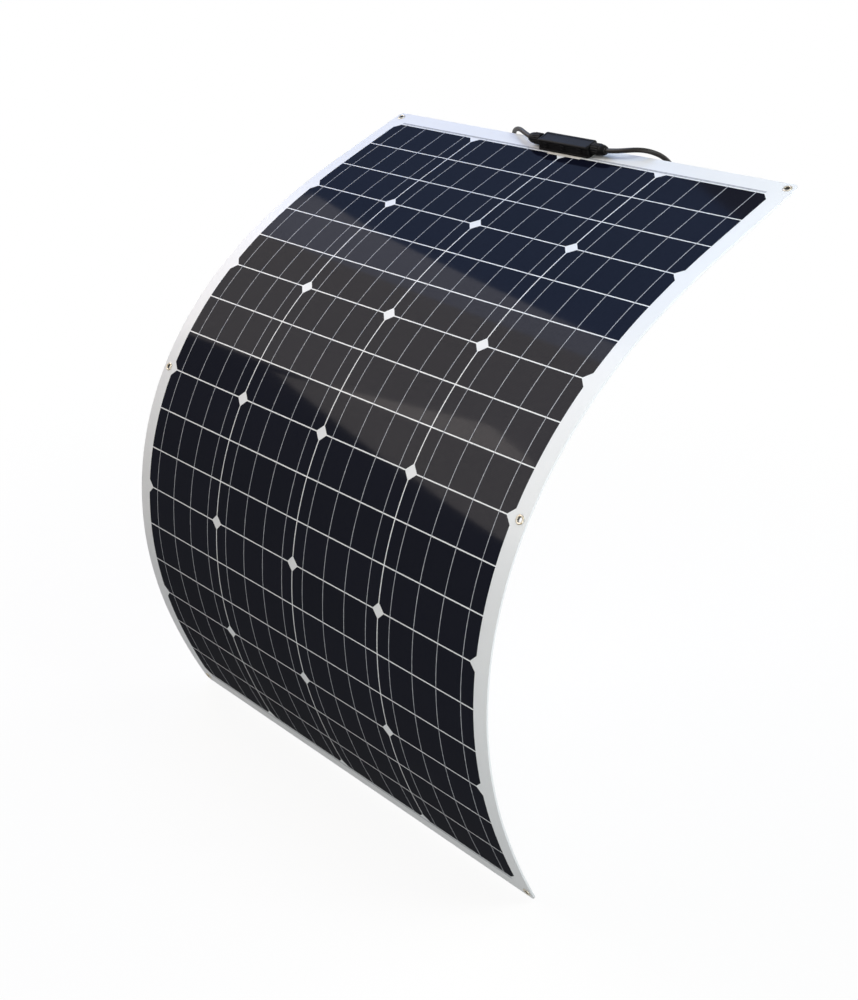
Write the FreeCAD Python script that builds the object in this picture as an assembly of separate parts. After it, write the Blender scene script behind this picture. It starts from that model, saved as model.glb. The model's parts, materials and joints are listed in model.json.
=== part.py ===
import FreeCAD, Part
import math
import os

# Flexible solar sheet: a thin bendable photovoltaic laminate, held by its eyelets and bowed about its width.
# Row frame: +X along the width, +Z up, the cells face -Y. The origin is the centre of the front surface.
# Millimetres and degrees. "s" is the distance along the front surface, from the centre towards the tail.

Vector = FreeCAD.Vector

# ---- cells and their layout
cell_side = 156.75          # pseudo-square wafer, flat to flat
cell_corner = 8.5           # leg of the wafer's cut corner
cuts_per_cell = 3           # pieces that each wafer is divided into
wafer_columns = 4
wafer_rows = 6
cell_gap = 1.5              # white line between neighbouring pieces
bus_width = 3.0             # collecting ribbon across the sheet at each end
bus_offset = 3.5            # from the last row of cells to the bus ribbon's centre line

# ---- laminate
side_margin = 20.0
end_margin = 27.0
sheet_corner = 8.0
film_thickness = 0.6        # clear front film, over the cells
cell_thickness = 0.3
backing_thickness = 1.6

# ---- bow: the curvature follows a cosine along the sheet
tightest_radius = 391.0
tightest_at = 70.0          # s of the tightest bend
flat_head = 64.0            # stretch at the head edge over which the curvature has fallen to nothing
lean = 29.5                 # of the sheet's centre from the vertical, top away from the viewer
rows_per_strip = 2          # rows of cut cells between flex lines
flex_gap = 0.3

# ---- eyelets
eyelet_hole = 6.0
eyelet_wall = 0.5
eyelet_flange = 11.0
eyelet_rim = 0.8            # height of the rolled rim over the film
eyelet_inset = 10.0         # from the sheet's edges to the eyelet's axis
eyelet_lip = 1.6            # how far the rolled lip reaches past the barrel, behind the sheet
eyelet_clearance = 0.1

# ---- junction box
box_length = 88.0
box_width = 23.0
box_height = 9.0            # base, from the pad to the parting line
lid_height = 5.0
lid_inset = 1.6             # from the lid's bevel to its sunk panel
panel_depth = 0.5
box_corner = 4.2
lid_chamfer = 2.4
pad_thickness = 0.8
pad_inset = 1.0
rim_height = 2.2            # stepped foot round the base
rim_width = 1.2
latch_width = 7.0
latch_thickness = 0.9
latch_drop = 4.5            # below the parting line
latch_rise = 1.6            # above it
latch_count = 3
box_inset = 13.5            # from the sheet's head edge to the box's centre line

# ---- cable glands
gland_axis_height = 8.6     # above the film
collar_diameter = 11.0
collar_length = 5.0
gland_nut_diameter = 15.0
gland_nut_length = 12.0
gland_taper_length = 8.0
gland_mouth_diameter = 9.0
gland_mouth_wall = 0.6
nut_ribs = 8
round_sides = 24            # facets round the glands and connectors
rib_depth = 0.7

# ---- leads and connectors
lead_diameter = 6.0
lead_sides = 8              # facets round the plain lead
coil_turns = 3.25
coil_radius = 33.0
coil_pitch = 6.3
coil_sides = 32             # facets round the ring that stands for a coil
right_coil_centre = Vector(98, 451, 195)     # at the first turn's plane
left_coil_centre = Vector(-101, 450, 195)
connector_diameter = 15.0
connector_body_length = 26.0
connector_nut_diameter = 19.0
connector_nut_length = 15.0
connector_neck_diameter = 9.0
connector_bevel = 1.0
plug_barrel_diameter = 10.0
plug_barrel_length = 14.0
socket_clearance = 0.3
socket_core_diameter = 6.4
latch_arm_thickness = 2.0
latch_arm_width = 6.0
latch_arm_length = 17.0
latch_arm_hook = 0.8        # how far each arm's hook stands out
latch_arm_gap = 0.6         # between each sprung arm and the plug's barrel
tie_width = 4.0
tie_thickness = 1.2
tie_clearance = 0.3

# Routes of the leads, in the row frame: out of the gland, over the head edge, and down behind it.
right_lead_route = [
    (64, 396.7, 284.6), (78, 397.2, 286), (91, 399.2, 288), (103, 403.2, 290), (112.5, 409.3, 290.2),
    (120, 417, 288), (126.5, 427.5, 283), (131, 439.5, 273), (133, 447.5, 256), (133, 451, 230),
    (131, 451, 195),
]
left_lead_route = [
    (-64, 396.7, 284.6), (-77, 399.5, 287.2), (-92, 406, 289.8), (-107, 413.5, 288.2), (-120, 421.5, 282.2),
    (-129, 431, 269), (-133, 440, 250), (-134, 447, 225), (-134, 450, 195),
]
# From the bottom of the coil, measured from there, for the right lead; the left one is its mirror image.
coil_exit_route = [(0, 0, 0), (-21, 0, -1.5), (-39, 0, -14), (-48, 0, -34), (-50, 0, -56), (-50, 0, -76)]

# ---- sizes that follow
wafer_pitch = cell_side + cell_gap
row_count = wafer_rows * cuts_per_cell
cut_height = cell_side / cuts_per_cell
row_pitch = cut_height + cell_gap
field_width = wafer_columns * wafer_pitch - cell_gap
field_length = row_count * row_pitch - cell_gap
half_width = field_width / 2 + side_margin
half_length = field_length / 2 + end_margin
backing_depth = film_thickness + cell_thickness
sheet_thickness = backing_depth + backing_thickness
bow_span = 2 * (half_length - flat_head + tightest_at)      # over which the curvature rises and falls
strip_count = math.ceil(row_count / rows_per_strip)
bus_at = field_length / 2 + bus_offset
box_centre = half_length - box_inset
tool_margin = 2.0           # how far a cutting tool reaches past what it cuts
tolerance = 0.01            # within which an edge counts as lying on a plane


def normal(angle):
    """Unit vector out of the front surface."""
    return Vector(0, -math.cos(angle), -math.sin(angle))


class Strip:
    """One arc of the sheet between two flex lines, of constant radius."""

    def __init__(self, number, anchor_s, anchor_point, anchor_angle):
        self.number = number
        first_row = (number - 1) * rows_per_strip
        last_row = min(number * rows_per_strip, row_count)
        self.rows = range(first_row, last_row)
        self.start = row_start(first_row) - cell_gap / 2
        self.end = row_start(last_row) - cell_gap / 2
        middle = (self.start + self.end) / 2
        self.radius = tightest_radius / math.cos(math.pi * (middle - tightest_at) / bow_span)
        self.anchor_s = anchor_s
        self.anchor_angle = anchor_angle
        self.centre = anchor_point - normal(anchor_angle) * self.radius
        self.is_head = number == 1
        self.is_tail = number == strip_count
        self.bend = (self.end - self.start) / self.radius

    def angle(self, s):
        """Pitch of the sheet at s."""
        return self.anchor_angle + (s - self.anchor_s) / self.radius

    def point(self, s, depth=0.0, x=0.0):
        """Point at s, x across, and depth below the front surface."""
        return self.centre + normal(self.angle(s)) * (self.radius - depth) + Vector(x, 0, 0)

    def body_start(self):
        """Where the strip's material begins: the sheet's edge, or half a gap past the flex line."""
        return -half_length if self.is_head else self.start + flex_gap / 2

    def body_end(self):
        """Where the strip's material ends."""
        return half_length if self.is_tail else self.end - flex_gap / 2

    def band(self, x_from, x_to, s_from, s_to, depth_from, depth_to):
        """Slab between two depths, swept about the strip's own axis so that all layers stay coaxial."""
        corners = [
            self.point(s_from, depth_from, x_from), self.point(s_from, depth_from, x_to),
            self.point(s_from, depth_to, x_to), self.point(s_from, depth_to, x_from),
        ]
        profile = Part.Face(Part.makePolygon(corners + corners[:1]))
        sweep = math.degrees((s_to - s_from) / self.radius)
        return profile.revolve(self.centre, Vector(1, 0, 0), sweep)

    def full_band(self, depth_from, depth_to):
        """Layer over the whole of the strip."""
        return self.band(-half_width, half_width, self.body_start(), self.body_end(), depth_from, depth_to)

    def place(self, shape, s, x=0.0, depth=0.0):
        """Seat a shape made flat (X across, Y towards the head, Z out of the sheet) on the sheet at s."""
        placed = shape.copy()
        placed.rotate(Vector(0, 0, 0), Vector(1, 0, 0), math.degrees(self.angle(s)) + 90)
        placed.translate(self.point(s, depth, x))
        return placed


def row_start(row):
    """s at the head side of a row of cut cells."""
    return -field_length / 2 + row * row_pitch


def make_strips():
    """Chain the strips outwards from the one that holds the centre, each tangent to the last."""
    root_number = min(strip_count, int((row_count / 2) // rows_per_strip) + 1)
    strips = {root_number: Strip(root_number, 0.0, Vector(0, 0, 0), -math.radians(lean))}
    for number in range(root_number + 1, strip_count + 1):
        before = strips[number - 1]
        strips[number] = Strip(number, before.end, before.point(before.end), before.angle(before.end))
    for number in range(root_number - 1, 0, -1):
        after = strips[number + 1]
        strips[number] = Strip(number, after.start, after.point(after.start), after.angle(after.start))
    return strips


def column_start(column):
    """x at the left side of a column of cells."""
    return -field_width / 2 + column * wafer_pitch


def corner_wedge(strip, x, s, side, end):
    """Tool for the cut corner of a wafer; side and end are +1 or -1, pointing out of the wafer."""
    reach = cell_corner + tool_margin
    flat = [
        Vector(side * tool_margin, -end * tool_margin, -tool_margin),
        Vector(-side * reach, -end * tool_margin, -tool_margin),
        Vector(side * tool_margin, end * reach, -tool_margin),
    ]
    wedge = Part.Face(Part.makePolygon(flat + flat[:1])).extrude(Vector(0, 0, 2 * tool_margin))
    return strip.place(wedge, s, x)


def make_cells(strip):
    """The strip's cut cells; only the first and last piece of each wafer carry its cut corners."""
    cells = []
    for row in strip.rows:
        s_from = row_start(row)
        s_to = s_from + cut_height
        for column in range(wafer_columns):
            x_from = column_start(column)
            x_to = x_from + cell_side
            cell = strip.band(x_from, x_to, s_from, s_to, film_thickness, backing_depth)
            wedges = []
            for x, side in ((x_from, -1), (x_to, 1)):
                if row % cuts_per_cell == 0:
                    wedges.append(corner_wedge(strip, x, s_from, side, -1))
                if row % cuts_per_cell == cuts_per_cell - 1:
                    wedges.append(corner_wedge(strip, x, s_to, side, 1))
            cells.append(cell.cut(wedges) if wedges else cell)
    return Part.makeCompound(cells)


def make_bus_ribbon(strip):
    """Flat ribbon across the end margin that joins the columns."""
    s = -bus_at if strip.is_head else bus_at
    edge = field_width / 2 - cell_corner
    return strip.band(-edge, edge, s - bus_width / 2, s + bus_width / 2, film_thickness, backing_depth)


def eyelet_places(strip):
    """s and x of the eyelets that pierce this strip: the corners and the middles of the long edges."""
    x = half_width - eyelet_inset
    places = []
    for s in (-half_length + eyelet_inset, 0.0, half_length - eyelet_inset):
        if strip.body_start() < s < strip.body_end():
            places += [(s, -x), (s, x)]
    return places


def eyelet_hole_tools(strip):
    """Cylinders that clear the eyelet barrels."""
    radius = eyelet_hole / 2 + eyelet_wall + eyelet_clearance
    tool = Part.makeCylinder(radius, sheet_thickness + 2 * tool_margin, Vector(0, 0, -tool_margin))
    return [strip.place(tool, s, x, sheet_thickness) for s, x in eyelet_places(strip)]


def sheet_corner_tools(strip):
    """Tools that round the sheet's outer corners on the end strips."""
    tools = []
    reach = sheet_corner + tool_margin
    height = sheet_thickness + 2 * tool_margin
    for end in (-1, 1):
        if not (strip.is_head if end < 0 else strip.is_tail):
            continue
        for side in (-1, 1):
            corner_x = 0.0 if side > 0 else -reach
            corner_y = 0.0 if end < 0 else -reach
            block = Part.makeBox(reach, reach, height, Vector(corner_x, corner_y, -tool_margin))
            round_tool = block.cut(Part.makeCylinder(sheet_corner, height, Vector(0, 0, -tool_margin)))
            s = end * (half_length - sheet_corner)
            tools.append(strip.place(round_tool, s, side * (half_width - sheet_corner), sheet_thickness))
    return tools


def make_backing(strip):
    """White back sheet that carries the cells and the bus ribbons."""
    slab = strip.full_band(backing_depth, sheet_thickness)
    return slab.cut(eyelet_hole_tools(strip) + sheet_corner_tools(strip))


def make_film(strip):
    """Clear front film and its encapsulant, recessed behind for the field of cells and the bus ribbons."""
    slab = strip.full_band(0.0, backing_depth)
    s_from = -bus_at - bus_width / 2 if strip.is_head else strip.body_start() - tool_margin
    s_to = bus_at + bus_width / 2 if strip.is_tail else strip.body_end() + tool_margin
    edge = field_width / 2
    recess = strip.band(-edge, edge, s_from, s_to, film_thickness, backing_depth + tool_margin)
    return slab.cut([recess] + eyelet_hole_tools(strip) + sheet_corner_tools(strip))


def make_eyelet():
    """Brass eyelet set through the sheet: barrel, dished front flange and rolled back lip."""
    bore = eyelet_hole / 2
    barrel = bore + eyelet_wall
    front = eyelet_clearance
    back = -sheet_thickness - eyelet_clearance
    lip = barrel + eyelet_lip
    corners = [
        Vector(bore, 0, eyelet_rim), Vector(eyelet_flange / 2, 0, front), Vector(barrel, 0, front),
        Vector(barrel, 0, back), Vector(lip, 0, back), Vector(bore, 0, back - eyelet_rim),
    ]
    profile = Part.Face(Part.makePolygon(corners + corners[:1]))
    return profile.revolve(Vector(0, 0, 0), Vector(0, 0, 1), 360)


def make_eyelets(strip):
    """Both eyelets of a strip."""
    eyelet = make_eyelet()
    return Part.makeCompound([strip.place(eyelet, s, x) for s, x in eyelet_places(strip)])


def ring_wire(radii, x):
    """Closed outline square to X; its corners go evenly round, at the given radii in turn."""
    corners = []
    for index, radius in enumerate(radii):
        turn = 2 * math.pi * index / len(radii)
        corners.append(Vector(x, radius * math.cos(turn), radius * math.sin(turn)))
    return Part.makePolygon(corners + corners[:1])


def prism(radii, start, length):
    """Prism along +X from x = start."""
    return Part.Face(ring_wire(radii, start)).extrude(Vector(length, 0, 0))


def round_bar(diameter, start, length):
    """Many-sided bar along +X from x = start."""
    return prism([diameter / 2] * round_sides, start, length)


def upright_edges(shape):
    """Edges that run along Z."""
    return [edge for edge in shape.Edges if abs(edge.tangentAt(edge.FirstParameter).z) > 0.999]


def rounded_block(length, width, height, radius, base_z):
    """Block centred on the Z axis with rounded upright edges."""
    block = Part.makeBox(length, width, height, Vector(-length / 2, -width / 2, base_z))
    return block.makeFillet(radius, upright_edges(block))


def make_box_pad():
    """Adhesive pad under the junction box."""
    length = box_length - 2 * pad_inset
    return rounded_block(length, box_width - 2 * pad_inset, pad_thickness, box_corner, 0.0)


def gland_spot(side):
    """Where a gland's axis leaves the box's end wall."""
    return Vector(side * box_length / 2, 0, gland_axis_height)


def make_box_base():
    """Potted base: stepped foot, straight walls and a threaded collar at each end."""
    inner_length = box_length - 2 * rim_width
    inner_width = box_width - 2 * rim_width
    foot = rounded_block(box_length, box_width, rim_height, box_corner, pad_thickness)
    wall = rounded_block(inner_length, inner_width, box_height, box_corner - rim_width, pad_thickness)
    base = foot.fuse(wall)
    for side in (-1, 1):
        collar = round_bar(collar_diameter, -rim_width, collar_length + rim_width)
        if side < 0:
            collar = collar.mirror(Vector(0, 0, 0), Vector(1, 0, 0))
        collar.translate(gland_spot(side))
        base = base.fuse(collar)
    low = Vector(-inner_length / 2, -inner_width / 2, pad_thickness + box_height)
    over = Part.makeBox(inner_length, inner_width, lid_height, low)
    return base.cut(over).removeSplitter()


def make_box_lid():
    """Snap-on lid with a chamfered crown and a row of catches down each long side."""
    length = box_length - 2 * rim_width
    width = box_width - 2 * rim_width
    base_z = pad_thickness + box_height
    lid = rounded_block(length, width, lid_height, box_corner - rim_width, base_z)
    top_edges = [edge for edge in lid.Edges if edge.BoundBox.ZMin > base_z + lid_height - tolerance]
    lid = lid.makeChamfer(lid_chamfer, top_edges)
    panel_length = length - 2 * (lid_chamfer + lid_inset)
    panel_width = width - 2 * (lid_chamfer + lid_inset)
    panel_z = base_z + lid_height - panel_depth
    panel = rounded_block(panel_length, panel_width, panel_depth, box_corner - rim_width, panel_z)
    lid = lid.cut(panel)
    for index in range(latch_count):
        x = (index - (latch_count - 1) / 2) * length / latch_count
        for side in (-1, 1):
            low_y = width / 2 if side > 0 else -width / 2 - latch_thickness
            low = Vector(x - latch_width / 2, low_y, base_z - latch_drop)
            lid = lid.fuse(Part.makeBox(latch_width, latch_thickness, latch_drop + latch_rise, low))
    return lid.removeSplitter()


def ribbed_bar(diameter, length):
    """Bar with grip ribs down its length, along +X from x = 0."""
    crest = diameter / 2
    root = crest - rib_depth
    return prism([crest, crest, root, root] * nut_ribs, 0.0, length)


def make_gland_nut():
    """Grip section and tapered nose of a gland, along +X from x = 0."""
    nose_end = gland_nut_length + gland_taper_length
    wide = ring_wire([gland_nut_diameter / 2 - rib_depth] * round_sides, gland_nut_length)
    narrow = ring_wire([gland_mouth_diameter / 2 + gland_mouth_wall] * round_sides, nose_end)
    nose = Part.makeLoft([wide, narrow], True, True)
    collar = round_bar(collar_diameter, 0.0, collar_length)
    bore = round_bar(gland_mouth_diameter, 0.0, nose_end)
    grip = ribbed_bar(gland_nut_diameter, gland_nut_length)
    return grip.fuse(nose).cut([collar, bore]).removeSplitter()


def make_gland_seal():
    """Rubber seal, with the lead's clamped end, from the collar's face to the nut's mouth, along +X."""
    length = gland_nut_length + gland_taper_length - collar_length
    return round_bar(gland_mouth_diameter, collar_length, length)


def both_glands(part):
    """A copy of a gland part at each end of the box."""
    right = part.copy()
    right.translate(gland_spot(1))
    left = part.mirror(Vector(0, 0, 0), Vector(1, 0, 0))
    left.translate(gland_spot(-1))
    return Part.makeCompound([left, right])


def lead_section(start, along):
    """Many-sided outline of the lead at its start, square to it."""
    radius = lead_diameter / 2
    across = along.cross(Vector(0, 1, 0)).normalize()
    upward = across.cross(along).normalize()
    corners = []
    for index in range(lead_sides):
        turn = 2 * math.pi * index / lead_sides
        corners.append(start + across * (radius * math.cos(turn)) + upward * (radius * math.sin(turn)))
    return Part.makePolygon(corners + corners[:1])


def tube(name, route):
    """Lead along straight runs joined by tangent arcs as large as the runs allow."""
    points = [Vector(*point) for point in route]
    edges = []
    radii = []
    start = points[0]
    for before, corner, after in zip(points, points[1:], points[2:]):
        run_in = corner - before
        run_out = after - corner
        half_turn = run_in.getAngle(run_out) / 2
        shorter = min(run_in.Length, run_out.Length)
        setback = 0.45 * shorter
        radius = setback / math.tan(half_turn)
        radii.append(round(radius, 1))
        inward = run_in / run_in.Length
        outward = run_out / run_out.Length
        arc_start = corner - inward * setback
        arc_end = corner + outward * setback
        bisector = outward - inward
        bulge = radius / math.cos(half_turn) - radius
        arc_middle = corner + bisector / bisector.Length * bulge
        edges.append(Part.LineSegment(start, arc_start).toShape())
        edges.append(Part.Arc(arc_start, arc_middle, arc_end).toShape())
        start = arc_end
    edges.append(Part.LineSegment(start, points[-1]).toShape())
    path = Part.Wire(edges)
    section = lead_section(points[0], points[1] - points[0])
    solid = path.makePipeShell([section], True, False)
    ratio = solid.Volume / (Part.Face(section).Area * path.Length)
    print(name, "length", round(path.Length, 1), "radii", radii, "volume ratio", round(ratio, 4))
    return solid


def make_coil(centre):
    """Closed many-sided ring that a lead's neat coil fills, its axis along Y."""
    half_lead = lead_diameter / 2
    width = coil_turns * coil_pitch + lead_diameter
    rings = []
    for radius in (coil_radius + half_lead, coil_radius - half_lead):
        corners = []
        for index in range(coil_sides):
            turn = 2 * math.pi * index / coil_sides
            corners.append(centre + Vector(radius * math.cos(turn), -half_lead, radius * math.sin(turn)))
        rings.append(Part.Face(Part.makePolygon(corners + corners[:1])).extrude(Vector(0, width, 0)))
    return rings[0].cut(rings[1])


def make_tie(centre):
    """Flat tie round the bundle of turns, at the top of the coil."""
    half_lead = lead_diameter / 2 + tie_clearance
    width = coil_turns * coil_pitch + 2 * half_lead
    low = Vector(centre.x - tie_width / 2, centre.y - half_lead, centre.z + coil_radius - half_lead)
    inner = Part.makeBox(tie_width, width, 2 * half_lead, low)
    around = Vector(0, tie_thickness, tie_thickness)
    outer = Part.makeBox(tie_width, width + 2 * tie_thickness, 2 * (half_lead + tie_thickness), low - around)
    return outer.cut(inner)


def coil_exit(centre, side):
    """Route from the bottom of a coil down to its connector; side is +1 on the right, -1 on the left."""
    bottom = centre + Vector(0, coil_turns * coil_pitch, -coil_radius)
    return [(bottom.x + side * x, bottom.y + y, bottom.z + z) for x, y, z in coil_exit_route]


def latch_arms():
    """Pair of sprung arms beside a plug's barrel, each with a hooked end, along +X from x = 0."""
    low = plug_barrel_diameter / 2 + latch_arm_gap
    high = low + latch_arm_thickness
    hook = latch_arm_length - latch_arm_thickness
    outline = [
        (-latch_arm_thickness, low), (hook, low), (latch_arm_length, (low + high) / 2),
        (hook, high + latch_arm_hook), (hook - latch_arm_thickness, high), (-latch_arm_thickness, high),
    ]
    corners = [Vector(x, -latch_arm_width / 2, z) for x, z in outline]
    arm = Part.Face(Part.makePolygon(corners + corners[:1])).extrude(Vector(0, latch_arm_width, 0))
    opposite = arm.copy()
    opposite.rotate(Vector(0, 0, 0), Vector(1, 0, 0), 180)
    return [arm, opposite]


def connector_shell():
    """What plug and socket share, along +X: the nut's neck and a body with a bevelled front edge."""
    start = connector_nut_length
    body = round_bar(connector_diameter, start, connector_body_length)
    front = start + connector_body_length
    front_edges = [edge for edge in body.Edges if edge.BoundBox.XMin > front - tolerance]
    body = body.makeChamfer(connector_bevel, front_edges)
    return body.fuse(round_bar(connector_neck_diameter, 0.0, start)), front


def make_plug():
    """Male connector along +X: shell, barrel and two latch arms."""
    shell, front = connector_shell()
    arms = latch_arms()
    for arm in arms:
        arm.translate(Vector(front, 0, 0))
    return shell.fuse([round_bar(plug_barrel_diameter, front, plug_barrel_length)] + arms).removeSplitter()


def make_socket():
    """Female connector along +X, with the ring-shaped recess that takes a plug's barrel."""
    shell, front = connector_shell()
    depth = plug_barrel_length + socket_clearance
    recess = round_bar(plug_barrel_diameter + 2 * socket_clearance, front - depth, depth)
    core = round_bar(socket_core_diameter, front - depth, plug_barrel_length)
    return shell.cut(recess.cut(core)).removeSplitter()


def make_connector_nut():
    """Ribbed cap nut round the connector's neck, along +X from x = 0."""
    neck = round_bar(connector_neck_diameter, 0.0, connector_nut_length)
    return ribbed_bar(connector_nut_diameter, connector_nut_length).cut(neck)


def hang_from(shape, route):
    """Turn a connector part to point down from the last point of a lead's route."""
    hung = shape.copy()
    hung.rotate(Vector(0, 0, 0), Vector(0, 1, 0), 90)
    hung.translate(Vector(*route[-1]))
    return hung


def export(name, shape):
    """Write one node."""
    shape.exportStep(f"parts/{name}.step")
    print(name, "solids", len(shape.Solids), "volume", round(shape.Volume, 1), "valid", shape.isValid())


def export_sheet(strips):
    """Write the laminate and its eyelets."""
    for strip in strips.values():
        number = strip.number
        export(f"back_sheet_{number}", make_backing(strip))
        export(f"cells_{number}", make_cells(strip))
        export(f"front_film_{number}", make_film(strip))
        place = "head" if strip.is_head else "tail" if strip.is_tail else "middle"
        if place != "middle":
            export(f"{place}_bus_ribbon", make_bus_ribbon(strip))
        if eyelet_places(strip):
            export(f"{place}_eyelets", make_eyelets(strip))


def export_junction_box(head):
    """Write the junction box and its glands, seated on the head margin."""
    parts = {
        "box_pad": make_box_pad(),
        "box_base": make_box_base(),
        "box_lid": make_box_lid(),
        "gland_nuts": both_glands(make_gland_nut()),
        "gland_seals": both_glands(make_gland_seal()),
    }
    for name, shape in parts.items():
        export(name, head.place(shape, -box_centre))


def export_leads():
    """Write both leads with their coils, ties and connectors."""
    right_exit = coil_exit(right_coil_centre, 1)
    left_exit = coil_exit(left_coil_centre, -1)
    export("lead_right", tube("lead_right", right_lead_route))
    export("lead_left", tube("lead_left", left_lead_route))
    export("coil_right", make_coil(right_coil_centre))
    export("coil_left", make_coil(left_coil_centre))
    export("lead_end_right", tube("lead_end_right", right_exit))
    export("lead_end_left", tube("lead_end_left", left_exit))
    export("coil_ties", Part.makeCompound([make_tie(right_coil_centre), make_tie(left_coil_centre)]))
    export("plug_body", hang_from(make_plug(), left_exit))
    export("socket_body", hang_from(make_socket(), right_exit))
    nut = make_connector_nut()
    export("connector_nuts", Part.makeCompound([hang_from(nut, left_exit), hang_from(nut, right_exit)]))


def main():
    os.makedirs("parts", exist_ok=True)
    strips = make_strips()
    export_sheet(strips)
    export_junction_box(strips[1])
    export_leads()


main()
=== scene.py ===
import json
import logging
import math
import random
from dataclasses import dataclass, field
from enum import Enum
from typing import Callable, Iterable, Optional, Sequence, Union

import bmesh
import bpy
from mathutils import Matrix, Vector


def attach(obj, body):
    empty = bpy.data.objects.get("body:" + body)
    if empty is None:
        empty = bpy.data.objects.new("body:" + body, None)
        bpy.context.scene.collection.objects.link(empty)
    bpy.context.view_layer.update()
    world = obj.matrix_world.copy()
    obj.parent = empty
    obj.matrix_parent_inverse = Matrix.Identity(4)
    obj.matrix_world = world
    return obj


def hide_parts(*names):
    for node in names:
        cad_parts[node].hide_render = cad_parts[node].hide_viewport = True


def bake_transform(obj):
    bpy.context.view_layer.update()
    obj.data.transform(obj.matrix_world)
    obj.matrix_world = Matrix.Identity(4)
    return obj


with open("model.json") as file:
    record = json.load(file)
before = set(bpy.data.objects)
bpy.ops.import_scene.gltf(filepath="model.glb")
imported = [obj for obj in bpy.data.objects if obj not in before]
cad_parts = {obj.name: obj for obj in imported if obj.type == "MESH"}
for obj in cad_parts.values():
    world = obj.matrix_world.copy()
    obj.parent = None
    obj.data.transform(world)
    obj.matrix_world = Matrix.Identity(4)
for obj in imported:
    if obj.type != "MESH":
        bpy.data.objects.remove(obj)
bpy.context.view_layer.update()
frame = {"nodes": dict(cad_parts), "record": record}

LOG = logging.getLogger("solar_sheet")
FULL_TURN = 2 * math.pi
SAME_PLACE = 1e-6                   # metres within which two places count as one
SHARP_EDGE = math.radians(40)       # edges that turn by more than this are rounded


class Side(Enum):
    """Which way along the sheet's width."""

    LEFT = -1
    RIGHT = 1


class Layer(Enum):
    """Height over the front surface, in metres, of each layer's upper face."""

    RIBBON = -0.00001
    CELL = -0.00006
    BACKING = -0.00012


# ---------------------------------------------------------------- shader bench


class Wire:
    """A shader socket that can be used in Python arithmetic."""

    def __init__(self, bench: "Bench", socket: bpy.types.NodeSocket) -> None:
        """Wrap a socket of the bench's tree."""
        self.bench = bench
        self.socket = socket

    def _math(self, operation: str, *others: Union["Wire", float], swap: bool = False) -> "Wire":
        """Add one Math node.

        Args:
            operation: The node's operation.
            others: The other operands.
            swap: Whether this wire is the second operand.

        Returns:
            The node's result.
        """
        operands = [self, *others]
        if swap:
            operands.reverse()
        return self.bench.node("ShaderNodeMath", {"operation": operation}, dict(enumerate(operands)))

    def __add__(self, other: Union["Wire", float]) -> "Wire":
        """Sum."""
        return self._math("ADD", other)

    __radd__ = __add__

    def __sub__(self, other: Union["Wire", float]) -> "Wire":
        """Difference."""
        return self._math("SUBTRACT", other)

    def __rsub__(self, other: float) -> "Wire":
        """Difference, this wire second."""
        return self._math("SUBTRACT", other, swap=True)

    def __mul__(self, other: Union["Wire", float]) -> "Wire":
        """Product."""
        return self._math("MULTIPLY", other)

    __rmul__ = __mul__

    def __truediv__(self, other: Union["Wire", float]) -> "Wire":
        """Quotient."""
        return self._math("DIVIDE", other)

    def larger(self, other: "Wire") -> "Wire":
        """The larger of two."""
        return self._math("MAXIMUM", other)

    def sine(self) -> "Wire":
        """Sine."""
        return self._math("SINE")

    def fraction(self) -> "Wire":
        """What is left over whole numbers."""
        return self._math("FRACT")

    def distance_from(self, value: float) -> "Wire":
        """Absolute difference from a number."""
        return (self - value)._math("ABSOLUTE")

    def above(self, low: float, high: float) -> "Wire":
        """Smooth step.

        Args:
            low: Where it is 0.
            high: Where it is 1.

        Returns:
            A mask from 0 to 1.
        """
        inputs = {"Value": self, "From Min": low, "From Max": high, "To Min": 0.0, "To Max": 1.0}
        return self.bench.node("ShaderNodeMapRange", {"interpolation_type": "SMOOTHSTEP"}, inputs)


Value = Union[Wire, float, int, Sequence[float]]


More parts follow.
